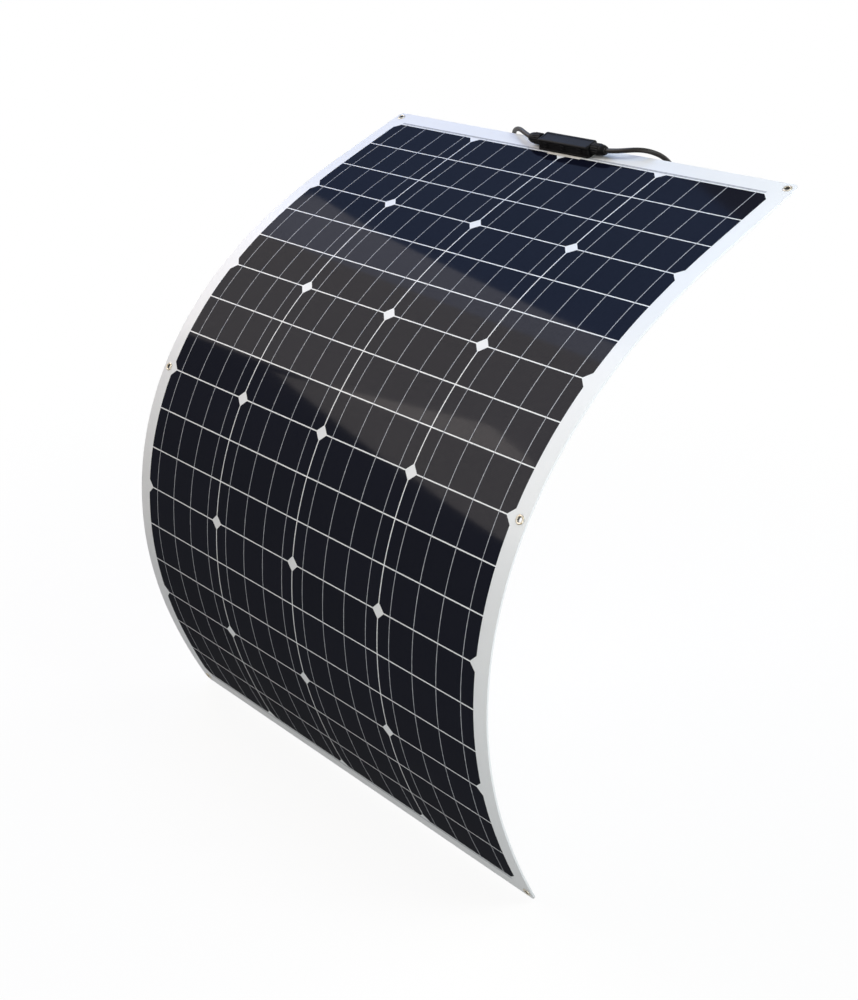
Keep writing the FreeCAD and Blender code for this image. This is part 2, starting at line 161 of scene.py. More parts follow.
class Bench:
    """Where a node tree is put together."""

    def __init__(self, tree: bpy.types.NodeTree) -> None:
        """Start with an empty tree."""
        self.tree = tree
        tree.nodes.clear()

    def node(self, kind: str, settings: Optional[dict] = None, inputs: Optional[dict] = None,
             output: Union[int, str] = 0) -> Wire:
        """Add any node.

        Args:
            kind: The node's type.
            settings: Properties, set first.
            inputs: Values or wires by socket name or number.
            output: The socket to hand back.

        Returns:
            The chosen output.
        """
        made = self.tree.nodes.new(kind)
        for key, value in (settings or {}).items():
            setattr(made, key, value)
        for key, value in (inputs or {}).items():
            self.feed(made.inputs[key], value)
        return Wire(self, made.outputs[output])

    def feed(self, socket: bpy.types.NodeSocket, value: Value) -> None:
        """Link a wire to a socket, or set its value.

        Args:
            socket: The input.
            value: A wire, a number or a colour.
        """
        if isinstance(value, Wire):
            self.tree.links.new(value.socket, socket)
        else:
            socket.default_value = value

    def place(self) -> Wire:
        """Object coordinates, in metres."""
        return self.node("ShaderNodeTexCoord", output="Object")

    def flat(self) -> tuple[Wire, Wire]:
        """The piece's own flat coordinates, in metres.

        Returns:
            Across and along the piece.
        """
        uv = self.node("ShaderNodeUVMap", {"uv_map": "Flat"})
        split = self.tree.nodes.new("ShaderNodeSeparateXYZ")
        self.feed(split.inputs[0], uv)
        return Wire(self, split.outputs[0]), Wire(self, split.outputs[1])

    def noise(self, at: Wire, scale: float, detail: float = 3.0) -> Wire:
        """Cloudy noise.

        Args:
            at: Coordinates.
            scale: Clouds to the metre.
            detail: Octaves.

        Returns:
            The noise's value, about 0.5 on average.
        """
        return self.node("ShaderNodeTexNoise", None, {"Vector": at, "Scale": scale, "Detail": detail})

    def blend(self, mask: Wire, first: Value, second: Value) -> Wire:
        """Mix two colours by a mask."""
        return self.node("ShaderNodeMix", {"data_type": "RGBA"}, {0: mask, 6: first, 7: second}, output=2)

    def shaders(self, share: Wire, first: Wire, second: Wire) -> Wire:
        """Mix two shaders; a share of 1 gives the second."""
        return self.node("ShaderNodeMixShader", None, {0: share, 1: first, 2: second})

    def seen(self) -> Wire:
        """Tell looking from lighting.

        Returns:
            1 for what the eye, a mirror or glass looks at, and 0 for plain light.
        """
        kinds = ("Is Camera Ray", "Is Glossy Ray", "Is Transmission Ray")
        eye, mirror, glass = [self.node("ShaderNodeLightPath", output=kind) for kind in kinds]
        return eye.larger(mirror).larger(glass)

    def show(self, kind: str, shader: Wire) -> None:
        """Send a shader to an output node of a kind."""
        self.feed(self.tree.nodes.new(kind).inputs["Surface"], shader)


class SurfaceBench(Bench):
    """Where one material's nodes are put together round a Principled surface."""

    def __init__(self, name: str) -> None:
        """Start a material.

        Args:
            name: The material's name.
        """
        self.material = bpy.data.materials.new(name)
        self.material.use_nodes = True
        super().__init__(self.material.node_tree)
        self.surface = self.node("ShaderNodeBsdfPrincipled")

    def set(self, **values: Value) -> None:
        """Feed the surface's sockets, where an underscore in a name stands for a space."""
        for name, value in values.items():
            self.feed(self.surface.socket.node.inputs[name.replace("_", " ")], value)

    def bump(self, height: Wire, depth: float, strength: float = 1.0) -> None:
        """Raise the surface.

        Args:
            height: From 0 to 1.
            depth: Real height of 1, in metres.
            strength: The bump's strength.
        """
        inputs = {"Height": height, "Distance": depth, "Strength": strength}
        self.set(Normal=self.node("ShaderNodeBump", None, inputs))

    def finished(self) -> bpy.types.Material:
        """Send the surface to the output and hand back the material."""
        self.show("ShaderNodeOutputMaterial", self.surface)
        return self.material


def grey(level: float) -> tuple[float, float, float, float]:
    """Neutral colour."""
    return (level, level, level, 1.0)


# ---------------------------------------------------------------- finishes


@dataclass(frozen=True)
class LaminatedWhite:
    """White back sheet under a clear film with an embossed weave."""

    colour: tuple = (0.80, 0.82, 0.84, 1.0)
    shade: tuple = (0.72, 0.74, 0.76, 1.0)
    weave_pitch: float = 0.0016
    weave_depth: float = 0.00003
    cloud_scale: float = 9.0

    def make(self) -> bpy.types.Material:
        """Build the material.

        Returns:
            The finish.
        """
        bench = SurfaceBench("laminated_white")
        across, along = bench.flat()
        rate = FULL_TURN / self.weave_pitch
        height = (across * rate).sine() * (along * rate).sine() * 0.5 + 0.5
        clouds = bench.noise(bench.place(), self.cloud_scale)
        mask = (height * 0.5 + clouds * 0.5).above(0.2, 0.8)
        bench.set(Base_Color=bench.blend(mask, self.shade, self.colour), Roughness=0.38 + 0.1 * clouds)
        bench.set(Specular_IOR_Level=0.25, Coat_Weight=0.15, Coat_Roughness=0.14)
        bench.bump(height, self.weave_depth, 0.35)
        return bench.finished()


@dataclass(frozen=True)
class Silicon:
    """Dark blue cell with its fine printed fingers, under the film."""

    colour: tuple = (0.0022, 0.0032, 0.0092, 1.0)
    paler: tuple = (0.0036, 0.0046, 0.0118, 1.0)
    finger: tuple = (0.0090, 0.0100, 0.0175, 1.0)
    finger_pitch: float = 0.0017
    finger_share: float = 0.1
    gloss: float = 0.038
    mottle: float = 0.3
    film_index: float = 2.4
    cloud_scale: float = 14.0
    embossing_scale: float = 420.0
    ripple_scale: float = 45.0

    def make(self) -> bpy.types.Material:
        """Build the material.

        Returns:
            The finish.
        """
        bench = SurfaceBench("silicon")
        along = bench.flat()[1]
        tone = bench.node("ShaderNodeAttribute", {"attribute_name": "tone"}, output="Fac")
        clouds = bench.noise(bench.place(), self.cloud_scale)
        body = bench.blend((tone * 0.6 + clouds * 0.4).above(0.15, 0.85), self.colour, self.paler)
        off_line = (along / self.finger_pitch).fraction().distance_from(0.5)
        line = 1 - off_line.above(self.finger_share / 2, self.finger_share)
        bench.set(Base_Color=bench.blend(line, body, self.finger), Roughness=0.3 + 0.1 * clouds)
        embossing = bench.noise(bench.place(), self.embossing_scale, 2.0)
        sheen = self.gloss * (1 - self.mottle) + embossing * (2 * self.mottle * self.gloss)
        bench.set(Specular_IOR_Level=0.0, Coat_Weight=sheen, Coat_Roughness=0.07, Coat_IOR=self.film_index)
        bench.bump(bench.noise(bench.place(), self.ripple_scale, 2.0), 0.00002, 0.12)
        return bench.finished()


@dataclass(frozen=True)
class TinnedCopper:
    """Flat tinned ribbon, seen through the film."""

    colour: tuple = (0.47, 0.49, 0.53, 1.0)
    dull: tuple = (0.36, 0.375, 0.41, 1.0)
    streak_scale: float = 260.0

    def make(self) -> bpy.types.Material:
        """Build the material.

        Returns:
            The finish.
        """
        bench = SurfaceBench("tinned_copper")
        streaks = bench.noise(bench.place(), self.streak_scale)
        bench.set(Base_Color=bench.blend(streaks.above(0.35, 0.65), self.dull, self.colour))
        bench.set(Roughness=0.4 + 0.15 * streaks, Specular_IOR_Level=0.1)
        bench.set(Coat_Weight=0.05, Coat_Roughness=0.1)
        return bench.finished()


@dataclass(frozen=True)
class PolishedMetal:
    """Nickelled brass, a little worn, with painted shade down the bore where a face's attribute marks it.
    """

    colour: tuple = (0.40, 0.37, 0.31, 1.0)
    worn: tuple = (0.35, 0.27, 0.15, 1.0)
    # Painted shade: a near-black colour for the bore's faces, standing in for the shadow inside the eyelet.
    bore_shade_colour: tuple = (0.035, 0.030, 0.024, 1.0)
    wear_scale: float = 420.0

    def make(self) -> bpy.types.Material:
        """Build the material.

        Returns:
            The finish.
        """
        bench = SurfaceBench("nickelled_brass")
        wear = bench.noise(bench.place(), self.wear_scale, 4.0)
        # Painted shade: faces marked down the bore take the dark colour and lose most of their metal shine.
        painted_shade = bench.node("ShaderNodeAttribute", {"attribute_name": "painted_shade"}, output="Fac")
        plating = bench.blend(wear.above(0.52, 0.68), self.colour, self.worn)
        bench.set(Base_Color=bench.blend(painted_shade, plating, self.bore_shade_colour), Metallic=1.0 - 0.8 * painted_shade)
        bench.set(Roughness=0.26 + 0.2 * wear)
        bench.bump(wear, 0.00005, 0.15)
        return bench.finished()


@dataclass(frozen=True)
class Moulded:
    """Moulded plastic or rubber with a fine grain."""

    name: str
    colour: tuple
    paler: tuple
    roughness: float = 0.4
    grain_scale: float = 1800.0
    grain_depth: float = 0.00002
    cloud_scale: float = 55.0
    gloss: float = 0.09

    def make(self) -> bpy.types.Material:
        """Build the material.

        Returns:
            The finish.
        """
        bench = SurfaceBench(self.name)
        at = bench.place()
        grain = bench.noise(at, self.grain_scale, 2.0)
        clouds = bench.noise(at, self.cloud_scale)
        mask = (clouds * 0.7 + grain * 0.3).above(0.35, 0.7)
        bench.set(Base_Color=bench.blend(mask, self.colour, self.paler))
        bench.set(Roughness=self.roughness - 0.06 + 0.14 * clouds, Specular_IOR_Level=self.gloss)
        bench.bump(grain, self.grain_depth, 0.25)
        return bench.finished()


# ---------------------------------------------------------------- mesh bench


def new_object(name: str, bm: bmesh.types.BMesh, material: bpy.types.Material,
               smooth_angle: float = 30.0) -> bpy.types.Object:
    """Turn a bmesh into a finished object at the origin.

    Args:
        name: Piece name.
        bm: The shape; it is freed.
        material: Its finish.
        smooth_angle: Edges sharper than this stay sharp, in degrees.

    Returns:
        The linked object.
    """
    mesh = bpy.data.meshes.new(name)
    bm.to_mesh(mesh)
    bm.free()
    mesh.shade_smooth()
    mesh.set_sharp_from_angle(angle=math.radians(smooth_angle))
    mesh.materials.append(material)
    piece = bpy.data.objects.new(name, mesh)
    bpy.context.scene.collection.objects.link(piece)
    return piece


def append(target: bmesh.types.BMesh, source: bmesh.types.BMesh) -> None:
    """Move one bmesh's shape into another.

    Args:
        target: What grows.
        source: What is added; it is freed.
    """
    holder = bpy.data.meshes.new("holder")
    source.to_mesh(holder)
    source.free()
    target.from_mesh(holder)
    bpy.data.meshes.remove(holder)


def plate(width: float, length: float, top: float, thickness: float,
          cut_corners: Optional[Callable[[Vector], bool]] = None, corner: float = 0.0,
          corner_steps: int = 1) -> bmesh.types.BMesh:
    """Flat plate centred on the Z axis: X across, Y towards the head.

    Args:
        width: Across.
        length: Along.
        top: Height of the upper face.
        thickness: Down from there.
        cut_corners: Says which corner points are cut.
        corner: Leg of the cut corner.
        corner_steps: 1 for a straight cut, more for a round one.

    Returns:
        The plate.
    """
    bm = bmesh.new()
    bmesh.ops.create_grid(bm, x_segments=1, y_segments=1, size=0.5)
    bmesh.ops.scale(bm, vec=(width, length, 1), verts=bm.verts)
    bmesh.ops.translate(bm, vec=(0, 0, top), verts=bm.verts)
    corners = [vert for vert in bm.verts if cut_corners and cut_corners(vert.co)]
    if corners:
        bmesh.ops.bevel(bm, geom=corners, offset=corner, offset_type="OFFSET", segments=corner_steps,
                        affect="VERTICES", profile=0.5, material=-1)
    grown = bmesh.ops.extrude_face_region(bm, geom=bm.faces[:], use_keep_orig=True)
    lowered = [item for item in grown["geom"] if isinstance(item, bmesh.types.BMVert)]
    bmesh.ops.translate(bm, vec=(0, 0, -thickness), verts=lowered)
    bmesh.ops.recalc_face_normals(bm, faces=bm.faces[:])
    return bm


def slice_along(bm: bmesh.types.BMesh, step: float) -> None:
    """Cut a flat shape across at every whole step of Y, so that it can bend.

    Args:
        bm: The shape.
        step: Distance between cuts.
    """
    low = min(vert.co.y for vert in bm.verts)
    high = max(vert.co.y for vert in bm.verts)
    for index in range(math.ceil(low / step), math.floor(high / step) + 1):
        if low + step / 10 < index * step < high - step / 10:
            everything = bm.verts[:] + bm.edges[:] + bm.faces[:]
            bmesh.ops.bisect_plane(bm, geom=everything, plane_co=(0, index * step, 0), plane_no=(0, 1, 0))


def stamp_flat(bm: bmesh.types.BMesh) -> None:
    """Keep each corner's place across and along the piece as its UV, in metres.

    Args:
        bm: The shape, while it is flat.
    """
    layer = bm.loops.layers.uv.verify()
    for face in bm.faces:
        for loop in face.loops:
            loop[layer].uv = loop.vert.co.xy


def name_flat(piece: bpy.types.Object) -> None:
    """Give the flat coordinates their name."""
    piece.data.uv_layers[0].name = "Flat"


def lathe(profile: Sequence[tuple[float, float]], steps: int) -> bmesh.types.BMesh:
    """Closed profile turned about the Z axis.

    Args:
        profile: Radius and height of each point, in turn.
        steps: Facets round.

    Returns:
        The turned solid.
    """
    bm = bmesh.new()
    verts = [bm.verts.new((radius, 0.0, height)) for radius, height in profile]
    edges = [bm.edges.new((verts[index - 1], verts[index])) for index in range(len(verts))]
    bmesh.ops.spin(bm, geom=verts + edges, cent=(0, 0, 0), axis=(0, 0, 1), angle=FULL_TURN, steps=steps,
                   use_merge=True)
    bmesh.ops.remove_doubles(bm, verts=bm.verts, dist=SAME_PLACE)
    bmesh.ops.recalc_face_normals(bm, faces=bm.faces[:])
    return bm


def lies_at(item: Union[bmesh.types.BMEdge, bmesh.types.BMFace], height: float) -> bool:
    """Whether an edge or a face lies level at a height."""
    return all(abs(vert.co.z - height) < SAME_PLACE for vert in item.verts)


def soften(bm: bmesh.types.BMesh, offset: float, steps: int = 3, height: Optional[float] = None) -> None:
    """Round the sharp edges of a shape.

    Args:
        bm: The shape.
        offset: How far the rounding reaches.
        steps: Its facets.
        height: Only edges that lie at this height, where it is given.
    """
    edges = []
    for edge in bm.edges:
        is_sharp = edge.calc_face_angle(0.0) > SHARP_EDGE
        if is_sharp and (height is None or lies_at(edge, height)):
            edges.append(edge)
    bmesh.ops.bevel(bm, geom=edges, offset=offset, offset_type="OFFSET", segments=steps, affect="EDGES",
                    profile=0.5, material=-1, clamp_overlap=True)


def block(size: tuple[float, float, float], middle: tuple[float, float, float],
          soft: float) -> bmesh.types.BMesh:
    """Block with rounded edges.

    Args:
        size: Along X, Y and Z.
        middle: Its centre.
        soft: Radius of its edges.

    Returns:
        The block.
    """
    bm = bmesh.new()
    bmesh.ops.create_cube(bm, size=1.0)
    bmesh.ops.scale(bm, vec=size, verts=bm.verts)
    soften(bm, soft)
    bmesh.ops.translate(bm, vec=middle, verts=bm.verts)
    return bm


def tile(length: float, width: float, low: float, high: float, corner: float) -> bmesh.types.BMesh:
    """Upright block with round corners, centred on the Z axis."""
    return plate(length, width, high, high - low, lambda point: True, corner, corner_steps=10)


def flute(bm: bmesh.types.BMesh, low: float, high: float, ribs: int, depth: float, least: float) -> None:
    """Cut grip flutes into the outside of a turned shape.

    Args:
        bm: A shape turned about the Z axis.
        low: Where the flutes start.
        high: Where they end.
        ribs: How many.
        depth: How deep.
        least: Points closer to the axis than this stay.
    """
    for vert in bm.verts:
        reach = math.hypot(vert.co.x, vert.co.y)
        if low <= vert.co.z <= high and reach > least:
            turn = math.atan2(vert.co.y, vert.co.x)
            # A wave cut off above and below leaves flat ribs and flat flutes with sloping sides.
            wave = min(1.0, max(0.0, 0.5 - 0.9 * math.cos(ribs * turn)))
            scale = (reach - depth * wave) / reach
            vert.co.x *= scale
            vert.co.y *= scale


def skin(loops: Sequence[Sequence[Vector]]) -> bmesh.types.BMesh:
    """Closed ring-shaped solid.

    Args:
        loops: A cycle of closed loops with as many points each.

    Returns:
        The solid.
    """
    bm = bmesh.new()
    rings = [[bm.verts.new(point) for point in loop] for loop in loops]
    for number, ring in enumerate(rings):
        last = rings[number - 1]
        for index in range(len(ring)):
            bm.faces.new((last[index - 1], last[index], ring[index], ring[index - 1]))
    bmesh.ops.recalc_face_normals(bm, faces=bm.faces[:])
    return bm


# ---------------------------------------------------------------- the bow


@dataclass(frozen=True)
class Layout:
    """How the cells lie on the sheet, in metres."""

    wafer: float = 0.15675
    corner: float = 0.0085
    cuts: int = 3
    columns: int = 4
    wafer_rows: int = 6
    gap: float = 0.0015
    side_margin: float = 0.020
    end_margin: float = 0.027
    rows_per_strip: int = 2

    @property
    def cut(self) -> float:
        """Height of a cut cell."""
        return self.wafer / self.cuts

    @property
    def row_pitch(self) -> float:
        """From one row to the next."""
        return self.cut + self.gap

    @property
    def rows(self) -> int:
        """Rows of cut cells."""
        return self.wafer_rows * self.cuts

    @property
    def strips(self) -> int:
        """Strips between flex lines."""
        return self.rows // self.rows_per_strip

    @property
    def field_width(self) -> float:
        """Across all cells."""
        return self.columns * (self.wafer + self.gap) - self.gap

    @property
    def field_length(self) -> float:
        """Along all cells."""
        return self.rows * self.row_pitch - self.gap

    @property
    def half_width(self) -> float:
        """From the centre line to a long edge."""
        return self.field_width / 2 + self.side_margin

    @property
    def half_length(self) -> float:
        """From the centre to the head or tail edge."""
        return self.field_length / 2 + self.end_margin

    def strip_edge(self, number: int) -> float:
        """Distance along the sheet at which a strip ends."""
        return -self.field_length / 2 - self.gap / 2 + number * self.rows_per_strip * self.row_pitch

    def strip_middle(self, number: int) -> float:
        """Distance along the sheet of a strip's middle."""
        return (self.strip_edge(number - 1) + self.strip_edge(number)) / 2


@dataclass
class Arc:
    """One stretch of constant radius, in the YZ plane."""

    start: float
    end: float
    radius: float
    anchor: float
    anchor_angle: float
    anchor_point: Vector
    centre: Vector = field(init=False)

    def __post_init__(self) -> None:
        """Find the arc's centre."""
        self.centre = self.anchor_point - self.normal(self.anchor_angle) * self.radius

    @staticmethod
    def normal(angle: float) -> Vector:
        """Out of the front surface."""
        return Vector((0.0, -math.cos(angle), -math.sin(angle)))

    def angle(self, along: float) -> float:
        """Pitch of the sheet."""
        return self.anchor_angle + (along - self.anchor) / self.radius

    def point(self, along: float, height: float = 0.0) -> Vector:
        """Place at a distance along the sheet and a height over it."""
        return self.centre + self.normal(self.angle(along)) * (self.radius + height)


@dataclass
class Bow:
    """The whole bend, strip by strip, from the middle outwards."""

    layout: Layout
    tightest_radius: float = 0.391
    tightest_at: float = 0.070
    flat_head: float = 0.064
    lean: float = math.radians(29.5)
    arcs: dict[int, Arc] = field(init=False, default_factory=dict)

    @property
    def span(self) -> float:
        """Length over which the curvature rises and falls."""
        return 2 * (self.layout.half_length - self.flat_head + self.tightest_at)

    def __post_init__(self) -> None:
        """Chain the arcs, each tangent to the last."""
        root = self.layout.strips // 2 + 1
        self.arcs[root] = self._arc(root, 0.0, -self.lean, Vector((0, 0, 0)))
        for number in range(root + 1, self.layout.strips + 1):
            last = self.arcs[number - 1]
            self.arcs[number] = self._arc(number, last.end, last.angle(last.end), last.point(last.end))
        for number in range(root - 1, 0, -1):
            last = self.arcs[number + 1]
            at = last.start
            self.arcs[number] = self._arc(number, at, last.angle(at), last.point(at))

    def _arc(self, number: int, anchor: float, angle: float, point: Vector) -> Arc:
        """One strip's arc, whose radius follows a cosine along the sheet.

        Args:
            number: The strip.
            anchor: A distance along the sheet.
            angle: The sheet's pitch there.
            point: And its place.

        Returns:
            The arc.
        """
        start = self.layout.strip_edge(number - 1)
        end = self.layout.strip_edge(number)
        place = (start + end) / 2 - self.tightest_at
        radius = self.tightest_radius / math.cos(math.pi * place / self.span)
        return Arc(start, end, radius, anchor, angle, point)

    def arc_at(self, along: float) -> Arc:
        """Find an arc.

        Args:
            along: Distance along the sheet.

        Returns:
            The arc that holds it, or the nearest one.
        """
        first = self.layout.strip_edge(0)
        strip_length = self.layout.rows_per_strip * self.layout.row_pitch
        number = 1 + math.floor((along - first) / strip_length)
        return self.arcs[min(max(number, 1), self.layout.strips)]

    def point(self, along: float, height: float = 0.0, across: float = 0.0) -> Vector:
        """Place in the row frame."""
        return self.arc_at(along).point(along, height) + Vector((across, 0.0, 0.0))

    def bend(self, bm: bmesh.types.BMesh) -> None:
        """Lay a flat shape on the bow: X across, Y towards the head, Z out of the sheet."""
        for vert in bm.verts:
            vert.co = self.point(-vert.co.y, vert.co.z, vert.co.x)

    def seat(self, bm: bmesh.types.BMesh, along: float, across: float) -> None:
        """Set a rigid shape on the bow without bending it.

        Args:
            bm: The shape, made flat.
            along: Where it goes along the sheet.
            across: And across.
        """
        turn = Matrix.Rotation(self.arc_at(along).angle(along) + math.pi / 2, 4, "X")
        spot = Matrix.Translation(self.point(along, 0.0, across))
        bmesh.ops.transform(bm, matrix=spot @ turn, verts=bm.verts)


# ---------------------------------------------------------------- the sheet


@dataclass
class Laminate:
    """The bent sheet: backing, cells and ribbons, made in lengths that bend at the flex lines."""

    layout: Layout
    bow: Bow
    thickness: float = 0.0025
    corner: float = 0.008
    corner_facets: int = 8
    eyelet_inset: float = 0.010
    hole_radius: float = 0.0036
    hole_facets: int = 40
    slice_step: float = 0.004
    ribbons: int = 4
    ribbon_width: float = 0.00085
    bus_width: float = 0.003
    bus_offset: float = 0.0035
    bus_lift: float = 0.00002
    seed: int = 11

    def eyelets(self) -> list[tuple[float, float]]:
        """Place the eyelets.

        Returns:
            Distance along and across of each, from the head to the tail.
        """
        across = self.layout.half_width - self.eyelet_inset
        along = self.layout.half_length - self.eyelet_inset
        return [(place, side.value * across) for place in (-along, 0.0, along) for side in Side]

    def ends(self, number: int) -> tuple[float, float]:
        """Where a length of the sheet starts and ends, from strip middle to strip middle.

        Args:
            number: The length, 0 at the head.

        Returns:
            Both distances along the sheet.
        """
        start = -self.layout.half_length if number == 0 else self.layout.strip_middle(number)
        last = number == self.layout.strips
        return start, self.layout.half_length if last else self.layout.strip_middle(number + 1)

    def blank(self) -> bmesh.types.BMesh:
        """The whole backing, flat, with its round corners and eyelet holes.

        Returns:
            The blank.
        """
        depth = self.thickness + Layer.BACKING.value
        slab = plate(2 * self.layout.half_width, 2 * self.layout.half_length, Layer.BACKING.value, depth,
                     lambda point: True, self.corner, self.corner_facets)
        tools = bmesh.new()
        for along, across in self.eyelets():
            tool = bmesh.new()
            bmesh.ops.create_cone(tool, cap_ends=True, segments=self.hole_facets, radius1=self.hole_radius,
                                  radius2=self.hole_radius, depth=4 * self.thickness)
            bmesh.ops.translate(tool, vec=(across, -along, 0), verts=tool.verts)
            append(tools, tool)
        return self._minus(slab, tools)

    @staticmethod
    def _minus(body: bmesh.types.BMesh, tool: bmesh.types.BMesh) -> bmesh.types.BMesh:
        """Cut one shape out of another.

        Args:
            body: What is cut; it is freed.
            tool: What is taken away; it is freed.

        Returns:
            What is left of the body.
        """
        plain = bpy.data.materials.new("cutting")
        kept = new_object("cut_body", body, plain)
        cutter = new_object("cut_tool", tool, plain)
        step = kept.modifiers.new("cut", "BOOLEAN")
        step.object = cutter
        step.solver = "EXACT"
        evaluated = kept.evaluated_get(bpy.context.evaluated_depsgraph_get())
        result = bmesh.new()
        result.from_mesh(evaluated.to_mesh())
        for leftover in (kept, cutter):
            mesh = leftover.data
            bpy.data.objects.remove(leftover)
            bpy.data.meshes.remove(mesh)
        bpy.data.materials.remove(plain)
        return result

    def backing_length(self, blank: bmesh.types.BMesh, number: int) -> bmesh.types.BMesh:
        """Cut one length from the blank.

        Args:
            blank: The whole backing.
            number: The length, 0 at the head.

        Returns:
            The length, still flat.
        """
        bm = blank.copy()
        start, end = self.ends(number)
        for place, outwards in ((-start, 1), (-end, -1)):
            everything = bm.verts[:] + bm.edges[:] + bm.faces[:]
            bmesh.ops.bisect_plane(bm, geom=everything, plane_co=(0, place, 0), plane_no=(0, outwards, 0),
                                   clear_outer=True)
        rim = [edge for edge in bm.edges if edge.is_boundary]
        if rim:
            bmesh.ops.holes_fill(bm, edges=rim)
        bmesh.ops.recalc_face_normals(bm, faces=bm.faces[:])
        slice_along(bm, self.slice_step)
        stamp_flat(bm)
        return bm

    def cell(self, row: int) -> bmesh.types.BMesh:
        """One cut cell, flat and centred, of which a wafer's outer pieces carry its cut corners.

        Args:
            row: Its row, 0 at the head.

        Returns:
            The cell.
        """
        place_in_wafer = row % self.layout.cuts

        def is_cut(point: Vector) -> bool:
            """Whether a corner is one of the wafer's own."""
            return place_in_wafer == (0 if point.y > 0 else self.layout.cuts - 1)

        depth = Layer.CELL.value - Layer.BACKING.value
        bm = plate(self.layout.wafer, self.layout.cut, Layer.CELL.value, depth, is_cut, self.layout.corner)
        stamp_flat(bm)
        return bm

    def cells_length(self, rows: Iterable[int], shades: random.Random) -> bmesh.types.BMesh:
        """The cells of some rows, each with its own slight tone.

        Args:
            rows: Which rows, 0 at the head.
            shades: Where the tones are drawn.

        Returns:
            All of them, flat and in place.
        """
        field_bm = bmesh.new()
        pitch = self.layout.wafer + self.layout.gap
        for row in rows:
            along = -self.layout.field_length / 2 + row * self.layout.row_pitch + self.layout.cut / 2
            for column in range(self.layout.columns):
                across = (column - (self.layout.columns - 1) / 2) * pitch
                bm = self.cell(row)
                tone = bm.faces.layers.float.new("tone")
                shade = shades.random()
                for face in bm.faces:
                    face[tone] = shade
                bmesh.ops.translate(bm, vec=(across, -along, 0), verts=bm.verts)
                append(field_bm, bm)
        slice_along(field_bm, self.slice_step)
        return field_bm

    def ribbons_length(self, start: float, end: float) -> bmesh.types.BMesh:
        """The thin ribbons over the cells, and the bus ribbons beyond them.

        Args:
            start: Distance along the sheet at which they start.
            end: And end.

        Returns:
            All of them, flat and in place.
        """
        bus = self.layout.field_length / 2 + self.bus_offset
        low = max(start, -bus)
        high = min(end, bus)
        depth = Layer.RIBBON.value - Layer.CELL.value
        strip_bm = bmesh.new()
        pitch = self.layout.wafer + self.layout.gap
        for column in range(self.layout.columns):
            left = (column - self.layout.columns / 2) * pitch + self.layout.gap / 2
            for index in range(self.ribbons):
                across = left + self.layout.wafer * (index + 0.5) / self.ribbons
                bm = plate(self.ribbon_width, high - low, Layer.RIBBON.value, depth)
                bmesh.ops.translate(bm, vec=(across, -(low + high) / 2, 0), verts=bm.verts)
                append(strip_bm, bm)
        for side, reached in ((-1, start < -bus), (1, end > bus)):
            if reached:
                width = self.layout.field_width - 2 * self.layout.corner
                bm = plate(width, self.bus_width, Layer.RIBBON.value + self.bus_lift, depth)
                bmesh.ops.translate(bm, vec=(0, -side * bus, 0), verts=bm.verts)
                append(strip_bm, bm)
        slice_along(strip_bm, self.slice_step)
        stamp_flat(strip_bm)
        return strip_bm

    def fasten(self, piece: bpy.types.Object, number: int) -> None:
        """Let the head or tail length ride on its strip; any other length is left with no body, its
        placement kept in its mesh.

        Args:
            piece: The length.
            number: Its number, 0 at the head.
        """
        if number in (0, self.layout.strips):
            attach(piece, f"strip_{max(number, 1)}")
        else:
            start, end = self.ends(number)
            self.bow.point(start)
            self.bow.point(end)
            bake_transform(piece)

    def build(self, finishes: dict[str, bpy.types.Material]) -> list[bpy.types.Object]:
        """Make every length.

        Args:
            finishes: Materials by slot.

        Returns:
            The pieces.
        """
        shades = random.Random(self.seed)
        blank = self.blank()
        pieces = []
        for number in range(self.layout.strips + 1):
            strips = [strip for strip in (number, number + 1) if 1 <= strip <= self.layout.strips]
            first = max(0, (number - 1) * self.layout.rows_per_strip + 1)
            last = min(self.layout.rows, number * self.layout.rows_per_strip + 1)
            sheet_nodes = [f"{node}_{strip}" for node in ("back_sheet", "front_film") for strip in strips]
            cell_nodes = [f"cells_{strip}" for strip in strips]
            bus_nodes = {0: ["head_bus_ribbon"], self.layout.strips: ["tail_bus_ribbon"]}.get(number, [])
            layers = {
                "back_sheet": (self.backing_length(blank, number), "sheet", sheet_nodes),
                "cells": (self.cells_length(range(first, last), shades), "cell_field", cell_nodes),
                "ribbons": (self.ribbons_length(*self.ends(number)), "cell_ribbons", bus_nodes),
            }
            for slot, (bm, name, nodes) in layers.items():
                self.bow.bend(bm)
                piece = new_object(f"{name}_{number}", bm, finishes[slot])
                name_flat(piece)
                self.fasten(piece, number)
                if nodes:
                    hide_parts(*nodes)
                pieces.append(piece)
        blank.free()
        return pieces


